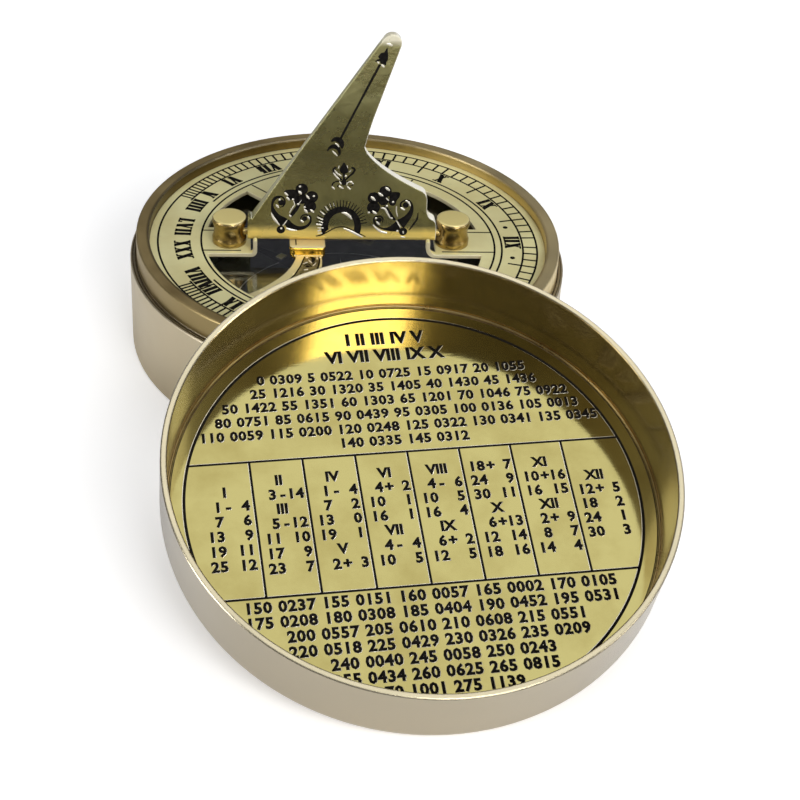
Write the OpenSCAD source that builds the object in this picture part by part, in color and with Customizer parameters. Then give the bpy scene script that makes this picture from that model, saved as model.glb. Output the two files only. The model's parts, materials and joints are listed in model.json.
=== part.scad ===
// Pocket sundial compass, shown open with its lid lifted off.
// The lid lies on the table and leans on the rim of the body.
// +X is the noon line of the dial, +Z is up, and the origin is the centre of the body's foot.

/* [Case] */
// Outer diameter of the body and the lid
case_d = 76.7; // [76:0.1:84]
// Height of the body, from its foot to the shoulder that the lid closes on
shoulder_h = 17; // [16:0.5:24]
// Height of the neck above the shoulder
neck_h = 4.3; // [3.5:0.1:7]
// Thickness of the neck's wall
neck_t = 2.25; // [1.8:0.05:2.6]
// Thickness of the body's floor
floor_t = 2.4; // [1.5:0.1:4]
// Width of the ledge that the glass lies on
ledge_w = 1.2; // [0.8:0.1:2]
// Rounding of the body's foot
edge_r = 0.8; // [0.3:0.1:1.2]

/* [Lid] */
// Depth of the lid, from its rim to its inner plate
lid_depth = 11.5; // [9:0.5:16]
// Thickness of the lid's side wall
lid_wall_t = 1; // [0.8:0.1:1.6]
// Thickness of the lid's floor
lid_floor_t = 1; // [0.8:0.1:1.5]
// Thickness of the round plate inside the lid
lid_plate_t = 0.3; // [0.2:0.1:0.6]
// Rounding of the lid's outer edge
lid_edge_r = 2.3; // [0.8:0.1:2.4]
// Gap all round between the lid's wall and the neck when the lid is on
lid_fit = 0.1; // [0.05:0.05:0.3]
// Height of the wire ring that holds the lid's plate down
lid_ring_h = 0.3; // [0.2:0.1:0.8]
// Lean of the open lid away from level, in degrees
lid_tilt = 18.9; // [15:0.1:24]
// Direction in which the open lid lies, in degrees to the right of the dial's front
lid_turn = 6.1; // [-20:0.1:20]

/* [Dial plate] */
// Depth of the dial's face below the neck's rim
dial_drop = 1.8; // [1:0.1:3]
// Thickness of the dial plate
dial_t = 0.7; // [0.6:0.1:1.2]
// Diameter of the round opening in the dial plate
window_d = 48.8; // [46:0.2:50]
// Distance of the opening's middle to the left of the dial's middle
window_x = 0.8; // [0:0.1:1]
// Distance of the opening, the tongues and the hinge in front of the dial's middle
mount_y = 0.5; // [0:0.1:0.8]
// Width of the two tongues that carry the gnomon
tongue_w = 8.9; // [8:0.1:10]
// Distance of the left tongue's end from the middle
tongue_left = 16.2; // [14:0.1:17]
// Distance of the right tongue's end from the middle
tongue_right = 13.3; // [11:0.1:14]
// Outer radius of the left tongue's turned-up corner
curl_left = 1.1; // [1:0.1:1.6]
// Outer radius of the right tongue's turned-up corner
curl_right = 1.9; // [1:0.1:2]
// Height of the turned-up corners above the dial
curl_h = 2.6; // [2.2:0.1:3]
// Width of the turned-up corners
curl_w = 1.1; // [0.8:0.1:1.4]
// Angle across the fan-shaped land at the back of the opening
fan_angle = 78; // [60:1:90]
// Direction of the fan's middle, seen from the opening's middle
fan_middle = 95; // [85:1:100]
// Radius of the fan's inner end
fan_inner_r = 9.5; // [7:0.5:14]

/* [Gnomon] */
// Slope of the style, which is the latitude of the place that the dial is for
latitude = 57.5; // [54:0.5:60]
// Distance from the middle to the point where the style's line meets the dial
style_foot = 20.5; // [19.5:0.1:21.5]
// Height of the gnomon's tip above the dial
gnomon_h = 39.8; // [34:0.2:40]
// Thickness of the gnomon's plate
gnomon_t = 1.2; // [0.8:0.1:1.6]
// Rounding of the gnomon's tip
tip_r = 1.6; // [1:0.1:1.8]
// Outer radius of the rolled barrel along the gnomon's foot
barrel_r = 1.3; // [1.1:0.05:1.4]
// Height above the axis up to which the plate's front thickens towards the barrel
taper_h = 16; // [4:0.5:18]
// Height of the hinge's axis above the dial
hinge_h = 2.3; // [2.1:0.1:2.6]
// Radius of the hinge rod
rod_r = 0.6; // [0.4:0.05:0.75]
// Gap all round between the rod and the barrel
rod_fit = 0.05; // [0.02:0.01:0.08]

/* [Posts] */
// Distance of the left post from the middle
post_left = 21; // [20.9:0.1:22]
// Distance of the right post from the middle
post_right = 18.3; // [17.9:0.1:19]
// Radius of a post at its top and its foot
post_r = 3; // [2.5:0.05:3]
// Radius of a post at its waist
post_waist_r = 2.7; // [2.2:0.05:2.8]
// Height of a post above the dial
post_h = 4.9; // [4.5:0.1:6.5]
// Radius of the threaded shank that goes through the tongue
shank_r = 1; // [0.8:0.1:1.2]

/* [Stay] */
// Thickness of the spring strip that holds the gnomon up
stay_t = 0.6; // [0.5:0.1:0.8]
// Width of the strip's raised end
stay_end_w = 6.2; // [5:0.1:7]
// Distance of the middle of the raised end from the middle of the dial
stay_end_x = 7.4; // [6.5:0.1:8]
// Gap between the raised end and the barrel
stay_gap = 0.1; // [0.05:0.05:0.3]

/* [Compass] */
// Thickness of the glass
glass_t = 1.5; // [1:0.1:2]
// Height of the ring between the glass and the dial plate
seat_h = 1.5; // [1.4:0.1:2.2]
// Thickness of the gasket below the glass
gasket_t = 0.4; // [0.2:0.1:0.6]
// Thickness of the compass card
card_t = 0.8; // [0.5:0.1:1.2]
// Width of the raised degree ring on the card
degree_ring_w = 5; // [3:0.5:8]
// Height of the raised degree ring
degree_ring_h = 1.2; // [0.8:0.1:2]
// Length of the needle
needle_l = 50; // [36:1:56]
// Width of the needle at its middle
needle_w = 4.6; // [3:0.2:6]
// Thickness of the needle
needle_t = 0.35; // [0.25:0.05:0.6]
// Height of the needle above the card
needle_h = 5.2; // [4:0.2:7]
// Direction of the needle's north end, in degrees from the noon line
needle_turn = -40; // [-180:5:180]

/* [Hidden] */
$fn = 96;

// Heights and radii of the case
case_r = case_d / 2;
lid_in_r = case_r - lid_wall_t;
neck_r = lid_in_r - lid_fit;
bore_r = neck_r - neck_t;
chamber_r = bore_r - ledge_w;
neck_top = shoulder_h + neck_h;
dial_top = neck_top - dial_drop;
dial_bottom = dial_top - dial_t;
glass_top = dial_bottom - seat_h;
glass_bottom = glass_top - glass_t;
ledge_top = glass_bottom - gasket_t;
card_top = floor_t + card_t;
foot_line_r = case_r - 7;
line_d = 0.16;
lip_r = 0.35;

// Parts that drop into the bore or the chamber keep this gap all round
drop_fit = 0.05;
dial_r = bore_r - drop_fit;
card_r = chamber_r - drop_fit;
window_r = window_d / 2;
seat_w = 2.6;

// Hinge
hinge_z = dial_top + hinge_h;
hinge_y = gnomon_t / 2 - barrel_r - mount_y;
post_clear = 0.15;
barrel_x0 = post_clear + post_r - post_left;
barrel_x1 = post_right - post_r - post_clear;
rod_seat_fit = 0.02;

// Nuts below the tongues
nut_r = 2.1;
nut_h = 1;

// Rivets of the stay
rivet_r = 0.4;
rivet_head_r = 0.6;
rivet_head_h = 0.3;
rivet_angles = [-121, -130];
rivet_at_r = window_r + 2.2;

// Compass
boss_r = 3.2;
boss_h = 1.4;
pin_r = 0.6;
cap_r = 1.9;
cap_h = 2.2;
tip_h = 0.9;
pivot_gap = 0.08;
needle_z = card_top + needle_h;
screw_r = 1.1;
screw_at = 17;
weight_at = 15;

// The open lid: its lowest edge is on the table and its underside rests on the neck's rim
lean_gap = 0.15;
lid_total_h = lid_floor_t + lid_plate_t + lid_depth;
lid_z = (case_r - lid_edge_r) * sin(lid_tilt) + lid_edge_r * (1 - cos(lid_tilt));
lid_reach = neck_r + ((neck_top - lid_z) * cos(lid_tilt) + lean_gap) / sin(lid_tilt);

function arc(centre, r, a0, a1, n) =
    [for (i = [0:n]) let (a = a0 + (a1 - a0) * i / n) [centre[0] + r * cos(a), centre[1] + r * sin(a)]];

function curve(a, b, c, n) =
    [for (i = [0:n]) let (t = i / n) a * (1 - t) * (1 - t) + b * 2 * t * (1 - t) + c * t * t];

function polar(r, a) = [r * cos(a), r * sin(a)];

module place_lid() {
    translate([lid_reach * sin(lid_turn), -lid_reach * cos(lid_turn), lid_z])
        rotate([0, 0, lid_turn])
            rotate([lid_tilt, 0, 0])
                children();
}

module ring(r_out, r_in, z, h) {
    translate([0, 0, z])
        difference() {
            cylinder(r = r_out, h = h);
            translate([0, 0, -1])
                cylinder(r = r_in, h = h + 2);
        }
}

// Half of a turned section, with two fine lines cut in the shoulder
module base_section() {
    step = (case_r - neck_r) / 4;
    polygon(concat(
        [[0, 0]],
        [for (k = [0, 1], j = [-1, 0, 1])
            [foot_line_r + 0.8 * k + j * line_d, line_d * (1 - abs(j))]],
        arc([case_r - edge_r, edge_r], edge_r, -90, 0, 8),
        [[case_r, shoulder_h - line_d], [case_r - line_d, shoulder_h]],
        [for (k = [1:2], j = [-1, 0, 1])
            [case_r - line_d - step * k * 1.1 - j * line_d, shoulder_h - line_d * (1 - abs(j))]],
        [[neck_r, shoulder_h]],
        arc([neck_r - lip_r, neck_top - lip_r], lip_r, 0, 90, 6),
        [[bore_r + line_d, neck_top], [bore_r, neck_top - line_d], [bore_r, ledge_top]],
        [[chamber_r, ledge_top], [chamber_r, floor_t], [0, floor_t]]));
}

module base_body() {
    color([0.76, 0.68, 0.47])
        difference() {
            rotate_extrude($fn = 128)
                base_section();
            card_screw_places()
                translate([0, 0, floor_t - 1.2])
                    cylinder(r = screw_r * 0.55, h = 2);
        }
}

module card_screw_places() {
    for (a = [90, 270])
        rotate([0, 0, a + needle_turn])
            translate([screw_at, 0, 0])
                children();
}

module compass_card() {
    color([0.05, 0.05, 0.05])
        difference() {
            translate([0, 0, floor_t])
                cylinder(r = card_r, h = card_t);
            card_screw_places()
                translate([0, 0, floor_t - 1])
                    cylinder(r = screw_r * 0.6, h = card_t + 2);
        }
}

module degree_ring() {
    color([0.08, 0.08, 0.08])
        translate([0, 0, card_top])
            rotate_extrude($fn = 128)
                polygon([[card_r - degree_ring_w, 0], [card_r, 0], [card_r, degree_ring_h],
                         [card_r - degree_ring_w + 1, degree_ring_h - 0.3],
                         [card_r - degree_ring_w, degree_ring_h - 0.8]]);
}

module card_screws() {
    color([0.7, 0.6, 0.35])
        card_screw_places()
            difference() {
                union() {
                    translate([0, 0, floor_t - 1])
                        cylinder(r = screw_r * 0.5, h = card_t + 1, $fn = 32);
                    translate([0, 0, card_top])
                        cylinder(r = screw_r, h = 0.6, $fn = 32);
                }
                translate([-screw_r - 1, -0.15, card_top + 0.35])
                    cube([2 * screw_r + 2, 0.3, 1]);
            }
}

module pivot_boss() {
    color([0.75, 0.62, 0.35])
        translate([0, 0, card_top])
            rotate_extrude($fn = 64)
                polygon(concat([[pin_r, 0], [boss_r, 0], [boss_r, 0.4]],
                               arc([boss_r + 0.1, boss_h + 0.2], 1.6, 240, 190, 6),
                               [[pin_r, boss_h]]));
}

module pivot_pin() {
    tip_z = needle_z + tip_h;
    color([0.55, 0.56, 0.58])
        translate([0, 0, card_top])
            rotate_extrude($fn = 32)
                polygon([[0, 0], [pin_r, 0], [pin_r, tip_z - card_top - 1.8],
                         [0.06, tip_z - card_top], [0, tip_z - card_top]]);
}

module at_needle() {
    rotate([0, 0, needle_turn])
        translate([0, 0, needle_z])
            children();
}

module needle() {
    half = needle_l / 2;
    color([0.06, 0.07, 0.12])
        at_needle()
            linear_extrude(needle_t)
                difference() {
                    polygon(concat(
                        curve([half, 0], [half * 0.35, needle_w * 0.36], [0, needle_w / 2], 8),
                        curve([0, needle_w / 2], [-half * 0.35, needle_w * 0.36], [-half, 0], 8),
                        curve([-half, 0], [-half * 0.35, -needle_w * 0.36], [0, -needle_w / 2], 8),
                        curve([0, -needle_w / 2], [half * 0.35, -needle_w * 0.36], [half, 0], 8)));
                    circle(r = cap_r * 0.6);
                }
}

module needle_weight() {
    color([0.75, 0.62, 0.35])
        at_needle()
            translate([-weight_at, 0, needle_t])
                translate([-0.7, -0.9, 0])
                    cube([1.4, 1.8, 0.5]);
}

module needle_cap() {
    color([0.78, 0.66, 0.38])
        translate([0, 0, needle_z])
            rotate_extrude($fn = 64)
                polygon([[pin_r + pivot_gap, -0.6], [cap_r * 0.6, -0.6], [cap_r * 0.6, needle_t],
                         [cap_r, needle_t], [cap_r, needle_t + 0.5], [cap_r * 0.7, cap_h - 0.4],
                         [cap_r * 0.35, cap_h], [0, cap_h], [0, tip_h + 0.9],
                         [pin_r + pivot_gap, tip_h + 0.9]]);
}

module cap_jewel() {
    jewel_top = tip_h + 0.9;
    color([0.6, 0.1, 0.15])
        translate([0, 0, needle_z])
            rotate_extrude($fn = 32)
                polygon([[0, tip_h + pivot_gap], [0.12, tip_h + pivot_gap],
                         [pin_r * 0.6, tip_h - 0.35], [pin_r + pivot_gap, tip_h - 0.35],
                         [pin_r + pivot_gap, jewel_top], [0, jewel_top]]);
}

module glass_gasket() {
    color([0.1, 0.1, 0.1])
        ring(bore_r - drop_fit, chamber_r, ledge_top, gasket_t);
}

module glass() {
    color([0.6, 0.65, 0.66, 0.4])
        translate([0, 0, glass_bottom])
            cylinder(r = bore_r - drop_fit, h = glass_t, $fn = 128);
}

module plate_seat() {
    color([0.6, 0.5, 0.3])
        ring(bore_r - drop_fit, bore_r - seat_w, glass_top, seat_h);
}

// The round opening, less the two tongues and the fan that stand into it
module window_outline() {
    left_end = tongue_left + curl_left;
    right_end = tongue_right + curl_right;
    translate([0, -mount_y])
        difference() {
            translate([-window_x, 0])
                circle(r = window_r, $fn = 128);
            translate([-window_r - 2, -tongue_w / 2])
                square([window_r + 2 - left_end, tongue_w]);
            translate([right_end, -tongue_w / 2])
                square([window_r + 2 - right_end, tongue_w]);
            translate([-window_x, 0])
                difference() {
                    polygon(concat([[0, 0]],
                                   arc([0, 0], window_r + 1, fan_middle - fan_angle / 2,
                                       fan_middle + fan_angle / 2, 24)));
                    circle(r = fan_inner_r, $fn = 64);
                }
        }
}

// Turned-up front corner of a tongue's end: a quarter bend and a straight top with a round end
module tongue_curl(r) {
    rise = curl_h + dial_t - dial_t / 2 - r;
    translate([0, 0, r])
        rotate([90, 0, 0])
            linear_extrude(curl_w)
                union() {
                    difference() {
                        circle(r = r, $fn = 48);
                        circle(r = r - dial_t, $fn = 48);
                        translate([-2 * r, 0])
                            square([4 * r, 2 * r]);
                        translate([-2 * r - 0.2, -2 * r])
                            square([2 * r, 4 * r]);
                    }
                    translate([r - dial_t, -0.02])
                        square([dial_t, rise + 0.02]);
                    translate([r - dial_t / 2, rise])
                        circle(r = dial_t / 2, $fn = 24);
                }
}

module dial_plate() {
    curl_y = curl_w - tongue_w / 2 - mount_y;
    color([0.78, 0.72, 0.50])
        difference() {
            union() {
                difference() {
                    translate([0, 0, dial_bottom])
                        cylinder(r = dial_r, h = dial_t, $fn = 128);
                    translate([0, 0, dial_bottom - 1])
                        linear_extrude(dial_t + 2)
                            window_outline();
                }
                translate([-tongue_left - curl_left, curl_y, dial_bottom])
                    tongue_curl(curl_left);
                translate([tongue_right + curl_right, curl_y, dial_bottom])
                    mirror([1, 0, 0])
                        tongue_curl(curl_right);
            }
            for (x = [-post_left, post_right])
                translate([x, -mount_y, dial_bottom - 1])
                    cylinder(r = shank_r + rod_seat_fit, h = dial_t + 2, $fn = 48);
            rivet_places()
                translate([0, 0, dial_bottom - 1])
                    cylinder(r = rivet_r + rod_seat_fit, h = dial_t + 2, $fn = 32);
        }
}

module rivet_places() {
    for (a = rivet_angles)
        rotate([0, 0, a])
            translate([rivet_at_r, 0, 0])
                children();
}

// A post with a hollowed side, a blind hole for the hinge rod and a shank below
module post(side) {
    hollow = post_h - 2;
    dip = post_r - post_waist_r;
    hollow_r = (hollow * hollow / 4 + dip * dip) / (2 * dip);
    sweep = asin(hollow / 2 / hollow_r);
    color([0.70, 0.56, 0.28])
        difference() {
            translate([0, 0, dial_top])
                rotate_extrude($fn = 96)
                    polygon(concat(
                        [[0, -dial_t - nut_h], [shank_r, -dial_t - nut_h], [shank_r, 0], [post_r, 0]],
                        arc([post_waist_r + hollow_r, post_h / 2], hollow_r, 180 + sweep, 180 - sweep, 12),
                        arc([post_r - 0.4, post_h - 0.4], 0.4, 0, 90, 5),
                        [[0, post_h]]));
            translate([0, hinge_y + mount_y, hinge_z])
                rotate([0, side * 90, 0])
                    cylinder(r = rod_r + rod_seat_fit, h = post_r + 1, $fn = 48);
        }
}

module post_left_pillar() {
    translate([-post_left, -mount_y, 0])
        post(1);
}

module post_right_pillar() {
    translate([post_right, -mount_y, 0])
        post(-1);
}

module post_nuts() {
    color([0.7, 0.6, 0.35])
        for (x = [-post_left, post_right])
            translate([x, -mount_y, 0])
                difference() {
                    translate([0, 0, dial_bottom - nut_h])
                        cylinder(r = nut_r, h = nut_h, $fn = 6);
                    translate([0, 0, dial_bottom - nut_h - 1])
                        cylinder(r = shank_r + rod_seat_fit, h = nut_h + 2, $fn = 48);
                }
}

module hinge_rod() {
    x0 = 0.3 - post_left;
    x1 = post_right - 0.3;
    color([0.6, 0.5, 0.3])
        translate([x0, hinge_y, hinge_z])
            rotate([0, 90, 0])
                cylinder(r = rod_r, h = x1 - x0, $fn = 48);
}

// Outline of the gnomon above the dial: x along the noon line, y is the height
function gnomon_outline() =
    let (
        run = [cos(latitude), sin(latitude)],
        side = [sin(latitude), -cos(latitude)],
        along = (gnomon_h - tip_r + tip_r * cos(latitude)) / sin(latitude),
        tip = [-style_foot, 0] + run * along + side * tip_r,
        notch = [2, gnomon_h * 0.475],
        shelf = [12.4, 10.8],
        foot_top = [barrel_x0, hinge_h + 2.4],
        style_low = [-style_foot, 0] + run * 6.4
    )
    concat(
        [[barrel_x0, hinge_h], foot_top],
        curve(foot_top + [0, 0.2], foot_top + [0.1, 1.1], style_low, 5),
        arc(tip, tip_r, 90 + latitude, -14, 10),
        [[3.3, gnomon_h * 0.615]],
        curve([3.3, gnomon_h * 0.615], [2.6, gnomon_h * 0.55], notch, 5),
        curve(notch + [0.5, -1.1], [5.2, gnomon_h * 0.36], shelf, 8),
        curve(shelf, [13.3, 10.2], [13.3, 9], 5),
        curve([13.3, 7.6], [13.4, 5.9], [14.3, 5.5], 6),
        curve([14.5, 5.4], [barrel_x1, 5], [barrel_x1, hinge_h + 1.6], 5),
        [[barrel_x1, hinge_h]]);

// Section of the tapered metal between the plate's front and the barrel, seen along the hinge
module taper_section() {
    front = -gnomon_t / 2 - mount_y;
    top = hinge_h + taper_h;
    polygon([[hinge_y, hinge_h], [hinge_y - barrel_r, hinge_h], [front, top],
             [front + 0.3, top], [front + 0.3, hinge_h]]);
}

module gnomon() {
    color([0.42, 0.37, 0.24])
        difference() {
            union() {
                translate([0, gnomon_t / 2 - mount_y, dial_top])
                    rotate([90, 0, 0])
                        linear_extrude(gnomon_t)
                            polygon(gnomon_outline());
                intersection() {
                    translate([0, 0, dial_top])
                        rotate([90, 0, 0])
                            linear_extrude(4 * barrel_r)
                                polygon(gnomon_outline());
                    translate([barrel_x0 - 1, 0, dial_top])
                        rotate([90, 0, 90])
                            linear_extrude(barrel_x1 - barrel_x0 + 2)
                                taper_section();
                }
                translate([barrel_x0, hinge_y, hinge_z])
                    rotate([0, 90, 0])
                        cylinder(r = barrel_r, h = barrel_x1 - barrel_x0, $fn = 64);
            }
            translate([barrel_x0 - 1, hinge_y, hinge_z])
                rotate([0, 90, 0])
                    cylinder(r = rod_r + rod_fit, h = barrel_x1 - barrel_x0 + 2, $fn = 48);
        }
}

// Plan of the stay: a raised end at the hinge and an arm that widens towards the ring
module stay_plan() {
    end_l = -stay_end_x - stay_end_w / 2;
    end_r = -stay_end_x + stay_end_w / 2;
    knee_y = stay_knee_y();
    foot_in = window_r + 0.4;
    foot_mid = (rivet_angles[0] + rivet_angles[1]) / 2;
    foot_half = 11;
    union() {
        translate([end_l, knee_y])
            square([stay_end_w, -knee_y]);
        polygon(concat(
            [[end_r, knee_y], [end_l, knee_y]],
            curve([end_l, knee_y - 0.2], [end_l + 1.4, knee_y - 1], [end_l + 0.9, knee_y - 2.2], 5),
            curve([end_l + 0.9, knee_y - 2.2], [end_l - 0.6, knee_y - 8.5],
                  polar(foot_in, foot_mid - foot_half), 10),
            [polar(foot_in + 3.4, foot_mid - foot_half + 2), polar(foot_in + 3.4, foot_mid + foot_half - 2)],
            curve(polar(foot_in, foot_mid + foot_half), [end_r - 0.6, knee_y - 10],
                  [end_r - 0.6, knee_y - 2.2], 10),
            curve([end_r - 0.6, knee_y - 2.2], [end_r - 0.9, knee_y - 1], [end_r, knee_y - 0.2], 5)));
    }
}

function stay_top() = hinge_h - barrel_r - stay_gap;
function stay_knee_y() = hinge_y - barrel_r - 1;

// Side view of the strip, drawn with y along the strip and x upwards from the dial's face
module stay_side() {
    top = stay_top();
    low = -dial_t;
    inner = 0.15;
    bend = stay_t + inner;
    y1 = stay_knee_y();
    union() {
        translate([y1, top - stay_t])
            square([hinge_y - y1 + 0.4, stay_t]);
        translate([y1, top - bend])
            bend_quarter(bend, [-1, 1]);
        translate([y1 - bend, low - stay_t + bend])
            square([stay_t, top - bend - low + stay_t - bend]);
        translate([y1 - bend - inner, low - stay_t + bend])
            bend_quarter(bend, [1, -1]);
        translate([-window_r - 8, low - stay_t])
            square([window_r + 8 + y1 - bend - inner, stay_t]);
    }
}

module bend_quarter(r, quadrant) {
    intersection() {
        difference() {
            circle(r = r, $fn = 48);
            circle(r = r - stay_t, $fn = 48);
        }
        scale_x = quadrant[0];
        scale_y = quadrant[1];
        polygon([[0, 0], [scale_x * 2 * r, 0], [scale_x * 2 * r, scale_y * 2 * r], [0, scale_y * 2 * r]]);
    }
}

module gnomon_stay() {
    color([0.72, 0.6, 0.34])
        difference() {
            intersection() {
                translate([0, 0, dial_bottom - stay_t - 1])
                    linear_extrude(8)
                        stay_plan();
                translate([-40, 0, dial_top])
                    rotate([90, 0, 90])
                        linear_extrude(80)
                            stay_side();
            }
            rivet_places()
                translate([0, 0, dial_bottom - stay_t - 1])
                    cylinder(r = rivet_r + rod_seat_fit, h = stay_t + 2, $fn = 32);
        }
}

module stay_rivets() {
    color([0.78, 0.66, 0.38])
        rivet_places()
            union() {
                translate([0, 0, dial_bottom - stay_t])
                    cylinder(r = rivet_r, h = dial_t + stay_t + rivet_head_h, $fn = 32);
                translate([0, 0, dial_top])
                    cylinder(r = rivet_head_r, h = rivet_head_h, $fn = 32);
            }
}

module lid_shell() {
    color([0.80, 0.74, 0.52])
        place_lid()
            rotate_extrude($fn = 128)
                polygon(concat(
                    [[0, 0]],
                    arc([case_r - lid_edge_r, lid_edge_r], lid_edge_r, -90, 0, 12),
                    [[case_r, lid_total_h - line_d], [case_r - line_d, lid_total_h],
                     [lid_in_r + line_d, lid_total_h], [lid_in_r, lid_total_h - line_d],
                     [lid_in_r, lid_floor_t], [0, lid_floor_t]]));
}

module lid_plate() {
    color([0.74, 0.68, 0.42])
        place_lid()
            translate([0, 0, lid_floor_t])
                cylinder(r = lid_in_r - drop_fit, h = lid_plate_t, $fn = 128);
}

module lid_ring() {
    color([0.7, 0.6, 0.35])
        place_lid()
            translate([0, 0, lid_floor_t + lid_plate_t])
                rotate_extrude($fn = 128)
                    polygon([[lid_in_r - drop_fit, 0], [lid_in_r - drop_fit, lid_ring_h],
                             [lid_in_r - drop_fit - lid_ring_h / 2, lid_ring_h],
                             [lid_in_r - drop_fit - lid_ring_h, 0]]);
}

base_body();
compass_card();
degree_ring();
card_screws();
pivot_boss();
pivot_pin();
needle();
needle_weight();
needle_cap();
cap_jewel();
glass_gasket();
glass();
plate_seat();
dial_plate();
post_left_pillar();
post_right_pillar();
post_nuts();
hinge_rod();
gnomon();
gnomon_stay();
stay_rivets();
lid_shell();
lid_plate();
lid_ring();
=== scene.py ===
import json
import math

import bpy
from bpy.props import FloatProperty, FloatVectorProperty, IntProperty, PointerProperty
from bpy.types import Operator, Panel, PropertyGroup
from mathutils import Matrix, Vector


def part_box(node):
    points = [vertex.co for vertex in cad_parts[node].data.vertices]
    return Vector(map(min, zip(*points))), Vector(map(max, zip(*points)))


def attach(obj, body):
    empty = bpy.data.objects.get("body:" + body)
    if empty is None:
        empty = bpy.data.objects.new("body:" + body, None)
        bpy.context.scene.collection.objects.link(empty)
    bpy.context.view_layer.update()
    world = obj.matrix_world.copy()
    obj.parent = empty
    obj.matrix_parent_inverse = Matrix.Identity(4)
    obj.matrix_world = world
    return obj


bl_info = {
    "name": "Sundial compass",
    "version": (1, 0, 0),
    "blender": (4, 5, 0),
    "location": "View3D > Sidebar > Sundial",
    "description": "Dresses a brass pocket sundial compass and sets it on a table",
    "category": "Object",
}

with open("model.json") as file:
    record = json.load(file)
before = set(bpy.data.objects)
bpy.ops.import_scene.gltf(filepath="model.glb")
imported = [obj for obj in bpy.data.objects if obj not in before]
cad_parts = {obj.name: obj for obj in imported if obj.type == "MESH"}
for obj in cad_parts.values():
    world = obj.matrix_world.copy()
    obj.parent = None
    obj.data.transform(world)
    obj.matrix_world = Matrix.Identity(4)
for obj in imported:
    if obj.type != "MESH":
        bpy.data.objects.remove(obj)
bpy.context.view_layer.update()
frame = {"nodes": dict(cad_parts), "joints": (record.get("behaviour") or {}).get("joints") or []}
MM = 0.001

# Sizes of the case and the lid, in metres
NECK_H = 4.3 * MM
DIAL_DROP = 1.8 * MM
DIAL_T = 0.7 * MM
LID_DEPTH = 11.5 * MM
LID_PLATE_T = 0.3 * MM

# Places read from the frame, in metres
NECK_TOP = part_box("base_body")[1].z
DIAL_Z = NECK_TOP - DIAL_DROP
MOUNT_Y = (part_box("post_left_pillar")[0].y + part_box("post_left_pillar")[1].y) / 2
LID_AXIS = Vector(next(j["axis"] for j in frame["joints"] if j["name"] == "lid_lift")).normalized()


def lid_matrix():
    """From the lid plate's own plane, with its face at height 0, to its place on the table."""
    low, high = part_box("lid_plate")
    across = Vector((-LID_AXIS.y, LID_AXIS.x, 0)).normalized()
    up = LID_AXIS.cross(across)
    turn = Matrix((across, up, LID_AXIS)).transposed().to_4x4()
    return Matrix.Translation((low + high) / 2 + LID_AXIS * LID_PLATE_T / 2) @ turn


# ---------------------------------------------------------------- sizes and colours


class DialSizes(PropertyGroup):
    face_z: FloatProperty(
        name="Dial face", description="Height of the dial's face above the table",
        default=DIAL_Z, unit="LENGTH", precision=5)
    outer_ring: FloatProperty(
        name="Outer ring", description="Radius of the outer circle of the tick band",
        default=0.0335, unit="LENGTH", precision=5)
    inner_ring: FloatProperty(
        name="Inner ring", description="Radius of the inner circle of the tick band",
        default=0.0310, unit="LENGTH", precision=5)
    double_outer: FloatProperty(
        name="Double circle, outer", description="Radius of the outer one of the two fine circles",
        default=0.02725, unit="LENGTH", precision=5)
    double_inner: FloatProperty(
        name="Double circle, inner", description="Radius of the inner one of the two fine circles",
        default=0.02595, unit="LENGTH", precision=5)
    line_width: FloatProperty(
        name="Line width", description="Width of the engraved circles",
        default=0.00035, unit="LENGTH", precision=5)
    tick_width: FloatProperty(
        name="Tick width", description="Width of the engraved ticks",
        default=0.0004, unit="LENGTH", precision=5)
    numeral_height: FloatProperty(
        name="Numeral height", description="Height of the hour numerals",
        default=0.0029, unit="LENGTH", precision=5)
    style_foot: FloatProperty(
        name="Style foot", description="Distance from the middle to the point that the hour lines start from",
        default=0.0205, unit="LENGTH", precision=5)
    noon_gap: FloatProperty(
        name="Half noon gap", description="Half the gap between the two noon lines",
        default=0.00165, unit="LENGTH", precision=5)
    tongue_line: FloatProperty(
        name="Tongue line", description="Distance from the middle of the mounts to the lines along the tongues",
        default=0.0034, unit="LENGTH", precision=5)
    fan_line: FloatProperty(
        name="Fan line", description="Distance of the border line from the side of the fan",
        default=0.0013, unit="LENGTH", precision=5)
    latitude_sine: FloatProperty(
        name="Sine of the latitude", description="Sets how the hour lines fan out",
        default=0.95, min=0.5, max=1.0)
    last_hour: IntProperty(
        name="Last hour", description="Hours before and after noon that the dial shows",
        default=8, min=4, max=9)


class EngravingSizes(PropertyGroup):
    proud: FloatProperty(
        name="Fill height", description="How far the black fill stands above the metal",
        default=0.000012, unit="LENGTH", precision=6)
    sunk: FloatProperty(
        name="Fill depth", description="How far the black fill goes into the metal",
        default=0.00003, unit="LENGTH", precision=6)
    ridge: FloatProperty(
        name="Ridge height", description="Height of the bright ridges on the ornament, as a share of their half width",
        default=0.45, min=0.1, max=1)
    lid_circle: FloatProperty(
        name="Lid circle", description="Radius of the circle on the lid's plate",
        default=0.03475, unit="LENGTH", precision=5)
    table_top: FloatProperty(
        name="Table top", description="Upper line of the table on the lid's plate",
        default=0.0091, unit="LENGTH", precision=5)
    table_foot: FloatProperty(
        name="Table foot", description="Lower line of the table on the lid's plate",
        default=-0.0143, unit="LENGTH", precision=5)
    column: FloatProperty(
        name="Column width", description="Width of a column of the table",
        default=0.0081, unit="LENGTH", precision=5)
    row: FloatProperty(
        name="Row height", description="Height of a row of figures",
        default=0.00253, unit="LENGTH", precision=5)
    figure: FloatProperty(
        name="Figure size", description="Size of the figures in the table",
        default=0.0024, unit="LENGTH", precision=5)


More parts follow.
